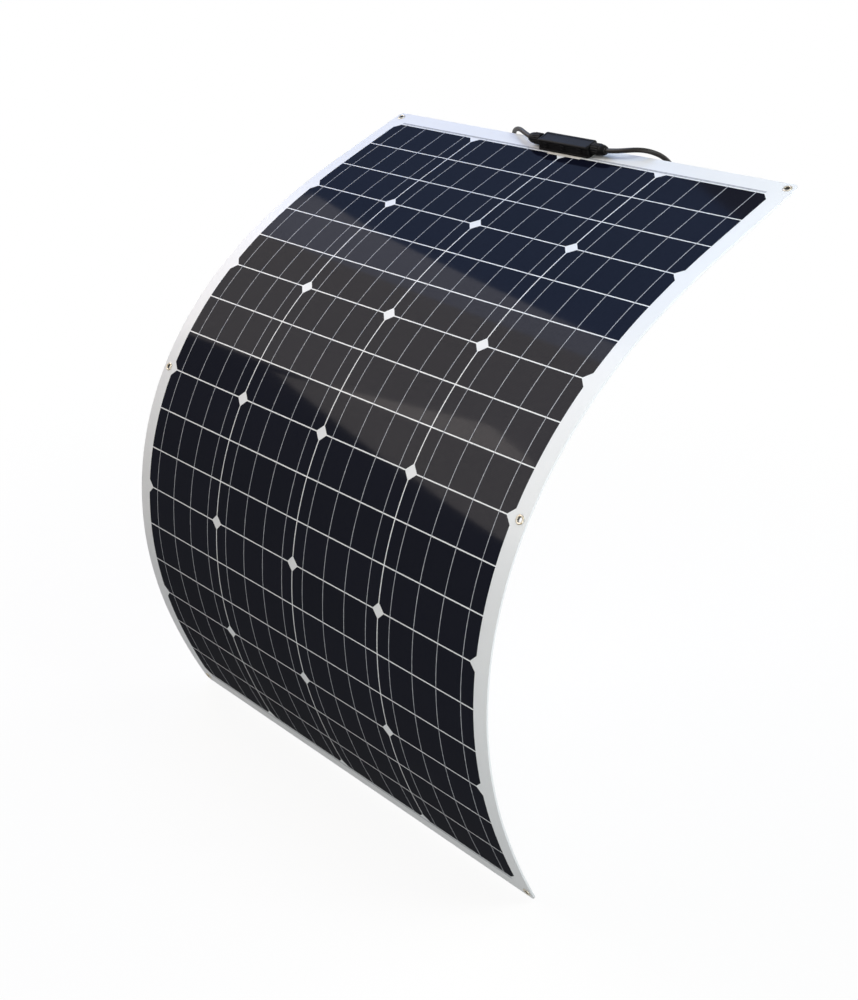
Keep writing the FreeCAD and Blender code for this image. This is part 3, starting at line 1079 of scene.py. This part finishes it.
@dataclass
class Eyelet:
    """Turned eyelet: rolled rim in front, barrel, and a rolled lip behind."""

    bore: float = 0.003
    wall: float = 0.0004
    flange: float = 0.0055
    rim_height: float = 0.0009
    lip: float = 0.0050
    sheet: float = 0.0025
    seat: float = 0.00006
    roll_steps: int = 7
    facets: int = 56

    def shape(self) -> bmesh.types.BMesh:
        """One eyelet, flat at the origin, its faces down the bore marked for painted shade.

        Returns:
            The eyelet.
        """
        profile = self._roll(self.flange, self.seat, self.rim_height)
        profile += self._roll(self.lip, -self.sheet - self.seat, -self.rim_height)[::-1]
        inner = self.bore + self.wall
        profile += [(inner, -self.sheet), (inner, 0.0)]
        bm = lathe(profile, self.facets)
        # Faces down the bore, which lie in shadow, are marked for a painted shade colour.
        painted_shade = bm.faces.layers.float.new("painted_shade")
        for face in bm.faces:
            middle = face.calc_center_median()
            in_bore = math.hypot(middle.x, middle.y) < self.bore * 1.04
            face[painted_shade] = float(in_bore and middle.z < self.rim_height / 3)
        return bm

    def _roll(self, outer: float, base: float, height: float) -> list[tuple[float, float]]:
        """Points of a rolled flange, from its outer foot over its crown into the bore.

        Args:
            outer: Radius of its outer foot.
            base: Height of its feet.
            height: Of its crown over them, below 0 for one that faces backwards.

        Returns:
            Radius and height of each point.
        """
        middle = (outer + self.bore) / 2
        reach = (outer - self.bore) / 2
        turns = [math.pi * index / self.roll_steps for index in range(self.roll_steps + 1)]
        return [(middle + reach * math.cos(turn), base + height * math.sin(turn)) for turn in turns]

    def build(self, laminate: Laminate, material: bpy.types.Material) -> list[bpy.types.Object]:
        """Make the three pairs.

        Args:
            laminate: The sheet that they pierce.
            material: Their finish.

        Returns:
            One piece for each pair.
        """
        bodies = (("head_eyelets", "strip_1"), ("middle_eyelets", "strip_5"), ("tail_eyelets", "strip_9"))
        places = laminate.eyelets()
        pieces = []
        for index, (node, body) in enumerate(bodies):
            pair = bmesh.new()
            for along, across in places[2 * index:2 * index + 2]:
                bm = self.shape()
                laminate.bow.seat(bm, along, across)
                append(pair, bm)
            piece = new_object(f"rolled_{node}", pair, material, smooth_angle=50.0)
            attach(piece, body)
            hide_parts(node)
            pieces.append(piece)
        return pieces


# ---------------------------------------------------------------- junction box


@dataclass
class Gland:
    """Cable gland: threaded collar, fluted nut with a tapered nose, and its rubber seal."""

    collar_radius: float = 0.0055
    collar_length: float = 0.005
    thread_pitch: float = 0.00125
    thread_depth: float = 0.0004
    nut_radius: float = 0.0075
    grip: float = 0.012
    nose: float = 0.008
    mouth: float = 0.0051
    bore: float = 0.0044
    ribs: int = 16
    rib_depth: float = 0.0007
    dome: float = 0.0006
    dome_steps: int = 6
    root: float = 0.001
    seal_bore: float = 0.0029
    facets: int = 96
    seal_facets: int = 48

    def collar(self) -> bmesh.types.BMesh:
        """Collar with its thread, along +Z from the box's wall.

        Returns:
            The collar, with a root that goes into the wall.
        """
        profile = [(self.bore, -self.root), (self.collar_radius, -self.root)]
        turns = int(self.collar_length / self.thread_pitch)
        for index in range(turns):
            start = index * self.thread_pitch
            profile += [(self.collar_radius, start + self.thread_pitch * 0.2),
                        (self.collar_radius - self.thread_depth, start + self.thread_pitch * 0.5),
                        (self.collar_radius, start + self.thread_pitch * 0.8)]
        return lathe(profile + [(self.bore, self.collar_length)], self.facets)

    def nut(self) -> bmesh.types.BMesh:
        """Nut along +Z from the box's wall, with a rounded heel and a domed nose.

        Returns:
            The nut.
        """
        top = self.nut_radius
        waist = self.nut_radius - self.rib_depth
        profile = [(self.bore + 0.0002, 0.0), (top - 0.0006, 0.0), (top, 0.0006), (top, self.grip - 0.0012),
                   (top - 0.0003, self.grip - 0.0004), (waist, self.grip)]
        for index in range(1, self.dome_steps + 1):
            share = index / self.dome_steps
            bulge = self.dome * math.sin(math.pi * share)
            profile.append((waist + (self.mouth - waist) * share + bulge, self.grip + self.nose * share))
        end = self.grip + self.nose
        profile += [(self.mouth - 0.0003, end + 0.0003), (self.bore, end)]
        bm = lathe(profile, self.facets)
        flute(bm, 0.0004, self.grip - 0.001, self.ribs, self.rib_depth, waist)
        return bm

    def seal(self) -> bmesh.types.BMesh:
        """Rubber seal that fills the nut's mouth round the lead.

        Returns:
            The seal.
        """
        end = self.grip + self.nose
        outer = self.bore - 0.00005
        profile = [(self.seal_bore, self.collar_length), (outer, self.collar_length), (outer, end - 0.0003),
                   (self.seal_bore + 0.0007, end + 0.0003), (self.seal_bore, end + 0.0001)]
        return lathe(profile, self.seal_facets)


@dataclass
class JunctionBox:
    """Potted box on the head margin: adhesive pad, base, snap-on lid with catches, and two glands."""

    bow: Bow
    head_edge: float
    length: float = 0.088
    width: float = 0.023
    corner: float = 0.0042
    pad: float = 0.0008
    pad_inset: float = 0.0006
    bead: tuple[float, float, float] = (0.056, 0.0048, 0.0006)
    bead_at: float = 0.004
    base_height: float = 0.009
    foot_height: float = 0.0022
    foot_width: float = 0.0012
    lid_height: float = 0.005
    crown: float = 0.0024
    panel_inset: float = 0.0016
    panel_depth: float = 0.0005
    panel_slope: float = 0.0003
    parting: float = 0.00025
    catches: int = 3
    catch: tuple[float, float, float] = (0.007, 0.0009, 0.0061)
    catch_drop: float = 0.0045
    catch_slot: tuple[float, float, float] = (0.0035, 0.0009, 0.0008)
    slot_drop: float = 0.0018
    inset: float = 0.0135
    gland_height: float = 0.0086
    gland: Gland = field(default_factory=Gland)

    @property
    def wall_length(self) -> float:
        """The box over its end walls."""
        return self.length - 2 * self.foot_width

    @property
    def wall_width(self) -> float:
        """The box over its long walls."""
        return self.width - 2 * self.foot_width

    @property
    def seam(self) -> float:
        """Height of the parting line."""
        return self.pad + self.base_height

    def pad_shape(self) -> bmesh.types.BMesh:
        """Adhesive under the box, with the bead that shows in front of its foot.

        Returns:
            The adhesive.
        """
        length = self.length - 2 * self.pad_inset
        bm = tile(length, self.width - 2 * self.pad_inset, 0.00002, self.pad, self.corner)
        across = -self.width / 2 - self.bead[1] / 2 + self.pad_inset
        append(bm, block(self.bead, (self.bead_at, across, self.bead[2] / 2), 0.0002))
        return bm

    def base_shape(self) -> bmesh.types.BMesh:
        """Stepped foot, walls and both collars.

        Returns:
            The base.
        """
        foot_top = self.pad + self.foot_height
        bm = tile(self.length, self.width, self.pad, foot_top, self.corner)
        soften(bm, 0.0005, 3, foot_top)
        top = self.seam - self.parting
        wall = tile(self.wall_length, self.wall_width, self.pad, top, self.corner - self.foot_width)
        soften(wall, 0.0003, 2, top)
        append(bm, wall)
        for side in Side:
            append(bm, self._outwards(self.gland.collar(), side))
        return bm

    def lid_shape(self) -> bmesh.types.BMesh:
        """Crowned lid with a sunk panel and a row of catches down each long side.

        Returns:
            The lid.
        """
        top = self.seam + self.lid_height
        bm = tile(self.wall_length, self.wall_width, self.seam, top, self.corner - self.foot_width)
        rim = [edge for edge in bm.edges if lies_at(edge, top)]
        bmesh.ops.bevel(bm, geom=rim, offset=self.crown, offset_type="OFFSET", segments=5, affect="EDGES",
                        profile=0.5, material=-1, clamp_overlap=True)
        crown = [face for face in bm.faces if lies_at(face, top)]
        bmesh.ops.inset_region(bm, faces=crown, thickness=self.panel_inset, depth=0.0)
        panel = max((face for face in bm.faces if lies_at(face, top)), key=lambda face: face.calc_area())
        bmesh.ops.inset_region(bm, faces=[panel], thickness=self.panel_slope, depth=-self.panel_depth)
        soften(bm, 0.0002, 2, self.seam)
        for index in range(self.catches):
            along = (index - (self.catches - 1) / 2) * self.wall_length / self.catches
            middle = self.seam - self.catch_drop + self.catch[2] / 2
            for side in Side:
                place = (along, side.value * (self.wall_width + self.catch[1]) / 2, middle)
                append(bm, block(self.catch, place, 0.0003))
                across = side.value * (self.wall_width / 2 + self.catch[1])
                append(bm, block(self.catch_slot, (along, across, middle - self.slot_drop), 0.0002))
        return bm

    def _outwards(self, bm: bmesh.types.BMesh, side: Side) -> bmesh.types.BMesh:
        """Turn a gland part to its end of the box.

        Args:
            bm: The part, made along +Z.
            side: Which end.

        Returns:
            The same part.
        """
        turn = Matrix.Rotation(side.value * math.pi / 2, 4, "Y")
        spot = Matrix.Translation((side.value * self.length / 2, 0, self.gland_height))
        bmesh.ops.transform(bm, matrix=spot @ turn, verts=bm.verts)
        return bm

    def both(self, shape: Callable[[], bmesh.types.BMesh]) -> bmesh.types.BMesh:
        """Make a gland part at each end.

        Args:
            shape: Makes the part.

        Returns:
            Both.
        """
        bm = self._outwards(shape(), Side.LEFT)
        append(bm, self._outwards(shape(), Side.RIGHT))
        return bm

    def build(self, finishes: dict[str, bpy.types.Material]) -> list[bpy.types.Object]:
        """Make the box's pieces.

        Args:
            finishes: Materials by slot.

        Returns:
            The pieces.
        """
        shapes = {
            "box_pad": ("adhesive", self.pad_shape()),
            "box_base": ("box_plastic", self.base_shape()),
            "box_lid": ("box_plastic", self.lid_shape()),
            "gland_nuts": ("box_plastic", self.both(self.gland.nut)),
            "gland_seals": ("lead_jacket", self.both(self.gland.seal)),
        }
        pieces = []
        for node, (slot, bm) in shapes.items():
            self.bow.seat(bm, self.inset - self.head_edge, 0.0)
            piece = new_object(f"fine_{node}", bm, finishes[slot], smooth_angle=35.0)
            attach(piece, "strip_1")
            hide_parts(node)
            pieces.append(piece)
        return pieces


# ---------------------------------------------------------------- leads


class End(Enum):
    """What a lead ends in."""

    PLUG = "plug"
    SOCKET = "socket"


@dataclass
class Connector:
    """Round connector that hangs from its lead: cap nut with a tapered boot, body, and barrel or recess."""

    kind: End
    facets: int = 80
    boot: float = 0.009
    bore: float = 0.0030
    nut_length: float = 0.015
    nut_radius: float = 0.0095
    ribs: int = 16
    rib_depth: float = 0.0007
    neck: float = 0.0045
    body_length: float = 0.026
    body_radius: float = 0.0075
    grip_rings: int = 4
    grip_pitch: float = 0.0022
    grip_start: float = 0.006
    barrel_length: float = 0.014
    barrel_radius: float = 0.005
    clearance: float = 0.0003
    core_radius: float = 0.0032
    contact: float = 0.0012
    arm: tuple[float, float, float] = (0.002, 0.006, 0.018)
    arm_gap: float = 0.0006

    def nut(self) -> bmesh.types.BMesh:
        """Fluted cap nut and its boot, down +Z from the lead's end.

        Returns:
            The nut.
        """
        top = self.nut_radius
        end = self.nut_length - 0.0001
        hole = self.neck + 0.0001
        profile = [(self.bore, -self.boot), (self.bore + 0.0006, -self.boot),
                   (self.bore + 0.0014, -self.boot / 2), (self.bore + 0.0032, 0.0), (top - 0.0012, 0.0002),
                   (top, 0.0016), (top, self.nut_length - 0.0008), (top - 0.0007, end), (hole, end),
                   (hole, 0.0008), (self.bore, 0.0008)]
        bm = lathe(profile, self.facets)
        flute(bm, 0.001, self.nut_length - 0.0004, self.ribs, self.rib_depth, top - self.rib_depth)
        return bm

    def body(self) -> bmesh.types.BMesh:
        """Body with its grip rings, and the barrel or the recess at its front.

        Returns:
            The body.
        """
        start = self.nut_length
        front = start + self.body_length
        outer = self.body_radius
        groove = outer - 0.0005
        profile = [(self.bore, 0.001), (self.neck, 0.001), (self.neck, start),
                   (outer - 0.0006, start + 0.0001), (outer, start + 0.0007)]
        for index in range(self.grip_rings):
            low = start + self.grip_start + index * self.grip_pitch
            profile += [(outer, low), (groove, low + 0.0005), (groove, low + 0.0012), (outer, low + 0.0017)]
        profile += [(outer, front - 0.001), (outer - 0.001, front)]
        profile += self._barrel(front) if self.kind is End.PLUG else self._recess(front)
        bm = lathe(profile + [(self.contact, start)], self.facets)
        if self.kind is End.PLUG:
            for side in Side:
                append(bm, self._arm(side, front))
        return bm

    def _barrel(self, front: float) -> list[tuple[float, float]]:
        """Outline of the plug's barrel, back into its contact's bore.

        Args:
            front: Height of the body's front.

        Returns:
            Radius and height of each point.
        """
        tip = front + self.barrel_length
        outer = self.barrel_radius
        return [(outer, front), (outer, tip - 0.0006), (outer - 0.0006, tip), (self.contact + 0.001, tip),
                (self.contact, tip - 0.001)]

    def _recess(self, front: float) -> list[tuple[float, float]]:
        """Outline of the socket's recess and of the core that stands in it.

        Args:
            front: Height of the body's front.

        Returns:
            Radius and height of each point.
        """
        deep = front - self.barrel_length
        wide = self.barrel_radius + self.clearance
        core = self.core_radius
        return [(wide + 0.0004, front), (wide, front - 0.0004), (wide, deep), (core, deep),
                (core, front - 0.0008), (core - 0.0006, front - 0.0003), (self.contact, front - 0.0003)]

    def _arm(self, side: Side, front: float) -> bmesh.types.BMesh:
        """Sprung latch arm with its hook.

        Args:
            side: Which of the two.
            front: Height of the body's front.

        Returns:
            The arm.
        """
        thickness, width, length = self.arm
        middle = self.barrel_radius + self.arm_gap + thickness / 2
        bm = block((thickness, width, length), (0.0, 0.0, 0.0), 0.0003)
        hook = (thickness * 1.3, width, thickness)
        append(bm, block(hook, (0.0003, 0.0, length / 2 - thickness * 1.4), 0.0005))
        turn = Matrix.Rotation(0.0 if side is Side.RIGHT else math.pi, 4, "Z")
        spot = Matrix.Translation((side.value * middle, 0.0, front - 0.001 + length / 2))
        quarter = Matrix.Rotation(math.pi / 2, 4, "Z")
        bmesh.ops.transform(bm, matrix=quarter @ spot @ turn, verts=bm.verts)
        return bm

    @staticmethod
    def hang(bm: bmesh.types.BMesh, place: Vector) -> bmesh.types.BMesh:
        """Point a part down from a place.

        Args:
            bm: The part, made along +Z.
            place: The lead's end.

        Returns:
            The same part.
        """
        turn = Matrix.Translation(place) @ Matrix.Rotation(math.pi, 4, "X")
        bmesh.ops.transform(bm, matrix=turn, verts=bm.verts)
        return bm


@dataclass
class Lead:
    """One lead: out of its gland, over the head edge, round its coil and down to its connector."""

    side: Side
    route: Sequence[tuple[float, float, float]]
    coil_centre: tuple[float, float, float]
    length: float
    body: str = "strip_1"
    diameter: float = 0.006
    coil_radius: float = 0.033
    coil_turns: float = 3.25
    coil_pitch: float = 0.0063
    points_per_turn: int = 16
    steps_between_points: int = 6
    steps_round: int = 6
    tie_width: float = 0.004
    tie_thickness: float = 0.0012
    tie_clearance: float = 0.0003
    tie_corner: float = 0.0018
    tie_head: tuple[float, float, float] = (0.0054, 0.0046, 0.0022)
    tie_tail: tuple[float, float, float] = (0.0036, 0.0060, 0.0007)
    exit_route: Sequence[tuple[float, float, float]] = (
        (-0.021, 0, -0.0015), (-0.039, 0, -0.014), (-0.048, 0, -0.034), (-0.050, 0, -0.056),
        (-0.050, 0, -0.076),
    )

    @property
    def name(self) -> str:
        """The lead's end of the box."""
        return self.side.name.lower()

    def coil_points(self) -> list[Vector]:
        """Control points of the turns, after the route's last point.

        Returns:
            The points.
        """
        across, back, up = self.coil_centre
        points = []
        count = round(self.coil_turns * self.points_per_turn)
        for index in range(1, count + 1):
            turn = FULL_TURN * index / self.points_per_turn
            depth = back + self.coil_pitch * index / self.points_per_turn
            reach = self.side.value * self.coil_radius * math.cos(turn)
            points.append(Vector((across + reach, depth, up - self.coil_radius * math.sin(turn))))
        return points

    def points(self) -> list[Vector]:
        """Every control point from the gland to the connector.

        Returns:
            The points.
        """
        points = [Vector(point) for point in self.route] + self.coil_points()
        bottom = points[-1]
        for across, back, up in self.exit_route:
            points.append(bottom + Vector((self.side.value * across, back, up)))
        return points

    def tie_shape(self) -> bmesh.types.BMesh:
        """Tie round the turns at the top of the coil: loop, ratchet head and cut tail.

        Returns:
            The tie.
        """
        across, back, up = self.coil_centre
        half_lead = self.diameter / 2 + self.tie_clearance
        depth = self.coil_turns * self.coil_pitch
        middle = Vector((across, back + depth / 2, up + self.coil_radius))
        low = Vector((0.0, depth / 2 + half_lead, half_lead))
        loops = []
        for side, grow in ((-1, 0.0), (-1, self.tie_thickness), (1, self.tie_thickness), (1, 0.0)):
            loops.append(self._tie_loop(middle, low, side * self.tie_width / 2, grow))
        bm = skin(loops)
        soften(bm, 0.00025, 2)
        crest = middle + Vector((0.0, depth / 2 - 0.004, half_lead + 0.0011))
        append(bm, block(self.tie_head, tuple(crest), 0.0005))
        append(bm, block(self.tie_tail, tuple(crest + Vector((0.0, -0.0040, 0.0003))), 0.0002))
        return bm

    def _tie_loop(self, middle: Vector, half: Vector, across: float, grow: float) -> list[Vector]:
        """Rounded rectangle in the YZ plane.

        Args:
            middle: Its centre.
            half: Half its size along Y and Z.
            across: How far it lies from the centre along X.
            grow: How far it is let out.

        Returns:
            Its points.
        """
        points = []
        steps = 7
        reach = self.tie_corner + grow
        for corner, (back, up) in enumerate(((1, 1), (-1, 1), (-1, -1), (1, -1))):
            round_y = back * (half.y - self.tie_corner)
            round_z = up * (half.z - self.tie_corner)
            for index in range(steps):
                turn = math.pi / 2 * (corner + index / (steps - 1))
                spot = (across, round_y + reach * math.cos(turn), round_z + reach * math.sin(turn))
                points.append(middle + Vector(spot))
        return points

    def fittings(self, finishes: dict[str, bpy.types.Material]) -> list[bpy.types.Object]:
        """Make the connector, its cap nut and the tie, which go with the lead.

        Args:
            finishes: Materials by slot.

        Returns:
            The pieces.
        """
        kind = End.SOCKET if self.side is Side.RIGHT else End.PLUG
        connector = Connector(kind)
        end = self.points()[-1]
        body = connector.hang(connector.body(), end)
        nut = connector.hang(connector.nut(), end)
        shapes = {
            f"{kind.value}_shell": ("connector_plastic", body, f"{kind.value}_body"),
            f"cap_nut_{self.name}": ("connector_plastic", nut, "connector_nuts"),
            f"tie_{self.name}": ("tie_plastic", self.tie_shape(), "coil_ties"),
        }
        pieces = []
        for name, (slot, bm, node) in shapes.items():
            piece = new_object(name, bm, finishes[slot], smooth_angle=35.0)
            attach(piece, self.body)
            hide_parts(node)
            pieces.append(piece)
        return pieces

    def build(self, finishes: dict[str, bpy.types.Material]) -> list[bpy.types.Object]:
        """Make the lead and what goes with it.

        Args:
            finishes: Materials by slot.

        Returns:
            The curve and its fittings.
        """
        with_pieces = self.fittings(finishes)
        curve = bpy.data.curves.new(f"lead_line_{self.name}", "CURVE")
        curve.dimensions = "3D"
        curve.bevel_depth = self.diameter / 2
        curve.bevel_resolution = self.steps_round
        curve.resolution_u = self.steps_between_points
        curve.use_fill_caps = True
        spline = curve.splines.new("NURBS")
        points = self.points()
        spline.points.add(len(points) - 1)
        for target, point in zip(spline.points, points):
            target.co = (*point, 1.0)
        spline.order_u = 3
        spline.use_endpoint_u = True
        curve.materials.append(finishes["lead_jacket"])
        piece = bpy.data.objects.new(f"cable_{self.name}", curve)
        bpy.context.scene.collection.objects.link(piece)
        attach(piece, self.body)
        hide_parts(f"lead_{self.name}", f"coil_{self.name}", f"lead_end_{self.name}")
        return [piece, *with_pieces]


# ---------------------------------------------------------------- studio


@dataclass(frozen=True)
class SoftBox:
    """Rectangular lamp that points at the sheet's middle."""

    name: str
    place: tuple[float, float, float]
    size: tuple[float, float]
    radiance: float
    colour: tuple[float, float, float]
    lean: float = 0.0

    def make(self) -> None:
        """Put the lamp in the scene."""
        data = bpy.data.lights.new(self.name, "AREA")
        data.shape = "RECTANGLE"
        data.size, data.size_y = self.size
        data.energy = math.pi * self.size[0] * self.size[1] * self.radiance
        data.color = self.colour
        light = bpy.data.objects.new(self.name, data)
        light.location = self.place
        aim = (-light.location).to_track_quat("-Z", "Y")
        light.rotation_euler = (aim.to_matrix() @ Matrix.Rotation(self.lean, 3, "Z")).to_euler()
        bpy.context.scene.collection.objects.link(light)


WARM = (1.0, 0.91, 0.84)
LAMPS = (
    SoftBox("key_box", (-2.003, -0.502, 1.762), (1.85, 1.6), 5.0, WARM, math.radians(-40)),
    SoftBox("key_edge", (-1.650, -1.740, 1.210), (1.25, 0.77), 5.2, WARM, math.radians(-28)),
    SoftBox("sky_box", (-1.6, 0.7, 1.9), (1.5, 1.4), 2.4, (0.19, 0.42, 1.0)),
    SoftBox("right_high", (1.0, 0.3, 1.0), (0.5, 0.5), 12.0, (0.94, 1.0, 0.99)),
    SoftBox("back_fill", (0.9, 2.3, 0.5), (1.8, 1.4), 4.0, (0.98, 0.99, 1.0)),
    SoftBox("right_low", (1.5, -0.9, 0.0), (0.8, 0.8), 9.0, (0.97, 1.0, 0.98)),
)


@dataclass
class Studio:
    """Pale floor, white surround, soft lights and the camera."""

    floor_height: float = -0.4885
    floor_size: float = 14.0
    ambient: float = 0.065
    ambient_tint: tuple = (0.93, 0.96, 1.0, 1.0)
    floor_white: float = 0.91
    floor_bounce: float = 0.2
    shadow_fade: tuple[float, float] = (0.7, 1.8)
    camera_place: tuple[float, float, float] = (1.2758, -0.9633, 0.6100)
    camera_turn: tuple[float, float, float] = (math.radians(66.45), 0.0, math.radians(48.48))
    lens: float = 52.98
    sensor: float = 36.0

    def camera(self) -> None:
        """Make the camera."""
        data = bpy.data.cameras.new("camera")
        data.lens = self.lens
        data.sensor_width = self.sensor
        camera = bpy.data.objects.new("camera", data)
        camera.location = self.camera_place
        camera.rotation_euler = self.camera_turn
        bpy.context.scene.collection.objects.link(camera)
        bpy.context.scene.camera = camera

    def world(self) -> None:
        """White to the eye and in reflections, plain cool light otherwise."""
        world = bpy.data.worlds.new("surround")
        world.use_nodes = True
        bench = Bench(world.node_tree)
        inputs = {"Color": self.ambient_tint, "Strength": self.ambient}
        light = bench.node("ShaderNodeBackground", None, inputs)
        white = bench.node("ShaderNodeBackground", None, {"Color": grey(1.0), "Strength": 1.0})
        bench.show("ShaderNodeOutputWorld", bench.shaders(bench.seen(), light, white))
        bpy.context.scene.world = world

    def floor(self) -> None:
        """Pale floor that shows the object's shadow and fades into the white surround."""
        bm = bmesh.new()
        bmesh.ops.create_grid(bm, x_segments=1, y_segments=1, size=self.floor_size / 2)
        bmesh.ops.translate(bm, vec=(0, 0, self.floor_height), verts=bm.verts)
        bench = SurfaceBench("pale_floor")
        at = bench.place()
        seen = bench.seen()
        pale = bench.blend(bench.noise(at, 30.0), grey(0.92), grey(0.96))
        bench.set(Base_Color=bench.blend(seen, grey(self.floor_bounce), pale))
        bench.set(Roughness=0.9, Specular_IOR_Level=0.0)
        white = bench.node("ShaderNodeEmission", None, {"Color": grey(1.0), "Strength": 1.0})
        reach = bench.node("ShaderNodeVectorMath", {"operation": "LENGTH"}, {0: at}, output="Value")
        far = reach.above(*self.shadow_fade)
        share = seen * (self.floor_white + (1 - self.floor_white) * far)
        bench.show("ShaderNodeOutputMaterial", bench.shaders(share, bench.surface, white))
        new_object("floor", bm, bench.material)

    def build(self) -> None:
        """Set everything up."""
        bpy.context.scene.view_settings.view_transform = "Standard"
        self.camera()
        self.world()
        self.floor()
        for lamp in LAMPS:
            lamp.make()


# ---------------------------------------------------------------- assembly


def make_finishes() -> dict[str, bpy.types.Material]:
    """Make every material.

    Returns:
        The materials by the record's slot.
    """
    plastics = {
        "adhesive": Moulded("silicone", (0.62, 0.60, 0.56, 1.0), (0.70, 0.68, 0.65, 1.0), 0.45, 900.0),
        "box_plastic": Moulded("box_plastic", (0.0035, 0.0035, 0.004, 1.0), (0.008, 0.0075, 0.008, 1.0),
                               0.46, gloss=0.07),
        "lead_jacket": Moulded("lead_jacket", (0.0075, 0.0062, 0.0055, 1.0), (0.018, 0.015, 0.013, 1.0),
                               0.42, 700.0, gloss=0.22),
        "tie_plastic": Moulded("nylon", (0.010, 0.010, 0.010, 1.0), (0.020, 0.020, 0.020, 1.0),
                               0.35, gloss=0.3),
        "connector_plastic": Moulded("connector_plastic", (0.007, 0.007, 0.008, 1.0),
                                     (0.014, 0.013, 0.014, 1.0), 0.36, gloss=0.3),
    }
    finishes = {
        "back_sheet": LaminatedWhite().make(),
        "cells": Silicon().make(),
        "ribbons": TinnedCopper().make(),
        "eyelets": PolishedMetal().make(),
    }
    finishes.update({slot: plastic.make() for slot, plastic in plastics.items()})
    return finishes


def dress_nodes(finishes: dict[str, bpy.types.Material]) -> None:
    """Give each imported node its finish, also where a piece stands for it.

    Args:
        finishes: Materials by slot.
    """
    slots = {entry["node"]: entry["material_slot"] for entry in frame["record"]["subparts"]}
    for name, node in frame["nodes"].items():
        node.data.materials.clear()
        node.data.materials.append(finishes.get(slots[name], finishes["back_sheet"]))
        node.data.shade_smooth()


def make_leads() -> list[Lead]:
    """Lay both leads: out of the gland, over the head edge, and down behind it.

    Returns:
        The right lead and the left one.
    """
    right = Lead(Side.RIGHT, (
        (0.064, 0.3967, 0.2846), (0.078, 0.3972, 0.286), (0.091, 0.3992, 0.288), (0.103, 0.4032, 0.290),
        (0.1125, 0.4093, 0.2902), (0.120, 0.417, 0.288), (0.1265, 0.4275, 0.283), (0.131, 0.4395, 0.273),
        (0.133, 0.4475, 0.256), (0.133, 0.451, 0.230), (0.131, 0.451, 0.195),
    ), coil_centre=(0.098, 0.451, 0.195), length=0.951)
    left = Lead(Side.LEFT, (
        (-0.064, 0.3967, 0.2846), (-0.077, 0.3995, 0.2872), (-0.092, 0.406, 0.2898),
        (-0.107, 0.4135, 0.2882), (-0.120, 0.4215, 0.2822), (-0.129, 0.431, 0.269), (-0.133, 0.440, 0.250),
        (-0.134, 0.447, 0.225), (-0.134, 0.450, 0.195),
    ), coil_centre=(-0.101, 0.450, 0.195), length=0.938)
    return [right, left]


def main() -> None:
    """Build the sheet, its fittings and its leads, and report each piece."""
    logging.basicConfig(level=logging.INFO, format="%(message)s")
    Studio().build()
    finishes = make_finishes()
    dress_nodes(finishes)
    layout = Layout()
    bow = Bow(layout)
    laminate = Laminate(layout, bow)
    pieces = laminate.build(finishes)
    pieces += Eyelet().build(laminate, finishes["eyelets"])
    pieces += JunctionBox(bow, layout.half_length).build(finishes)
    for lead in make_leads():
        pieces += lead.build(finishes)
    for piece in pieces:
        LOG.info("%s: %s", piece.name, piece.type.lower())


if __name__ == "__main__":
    main()
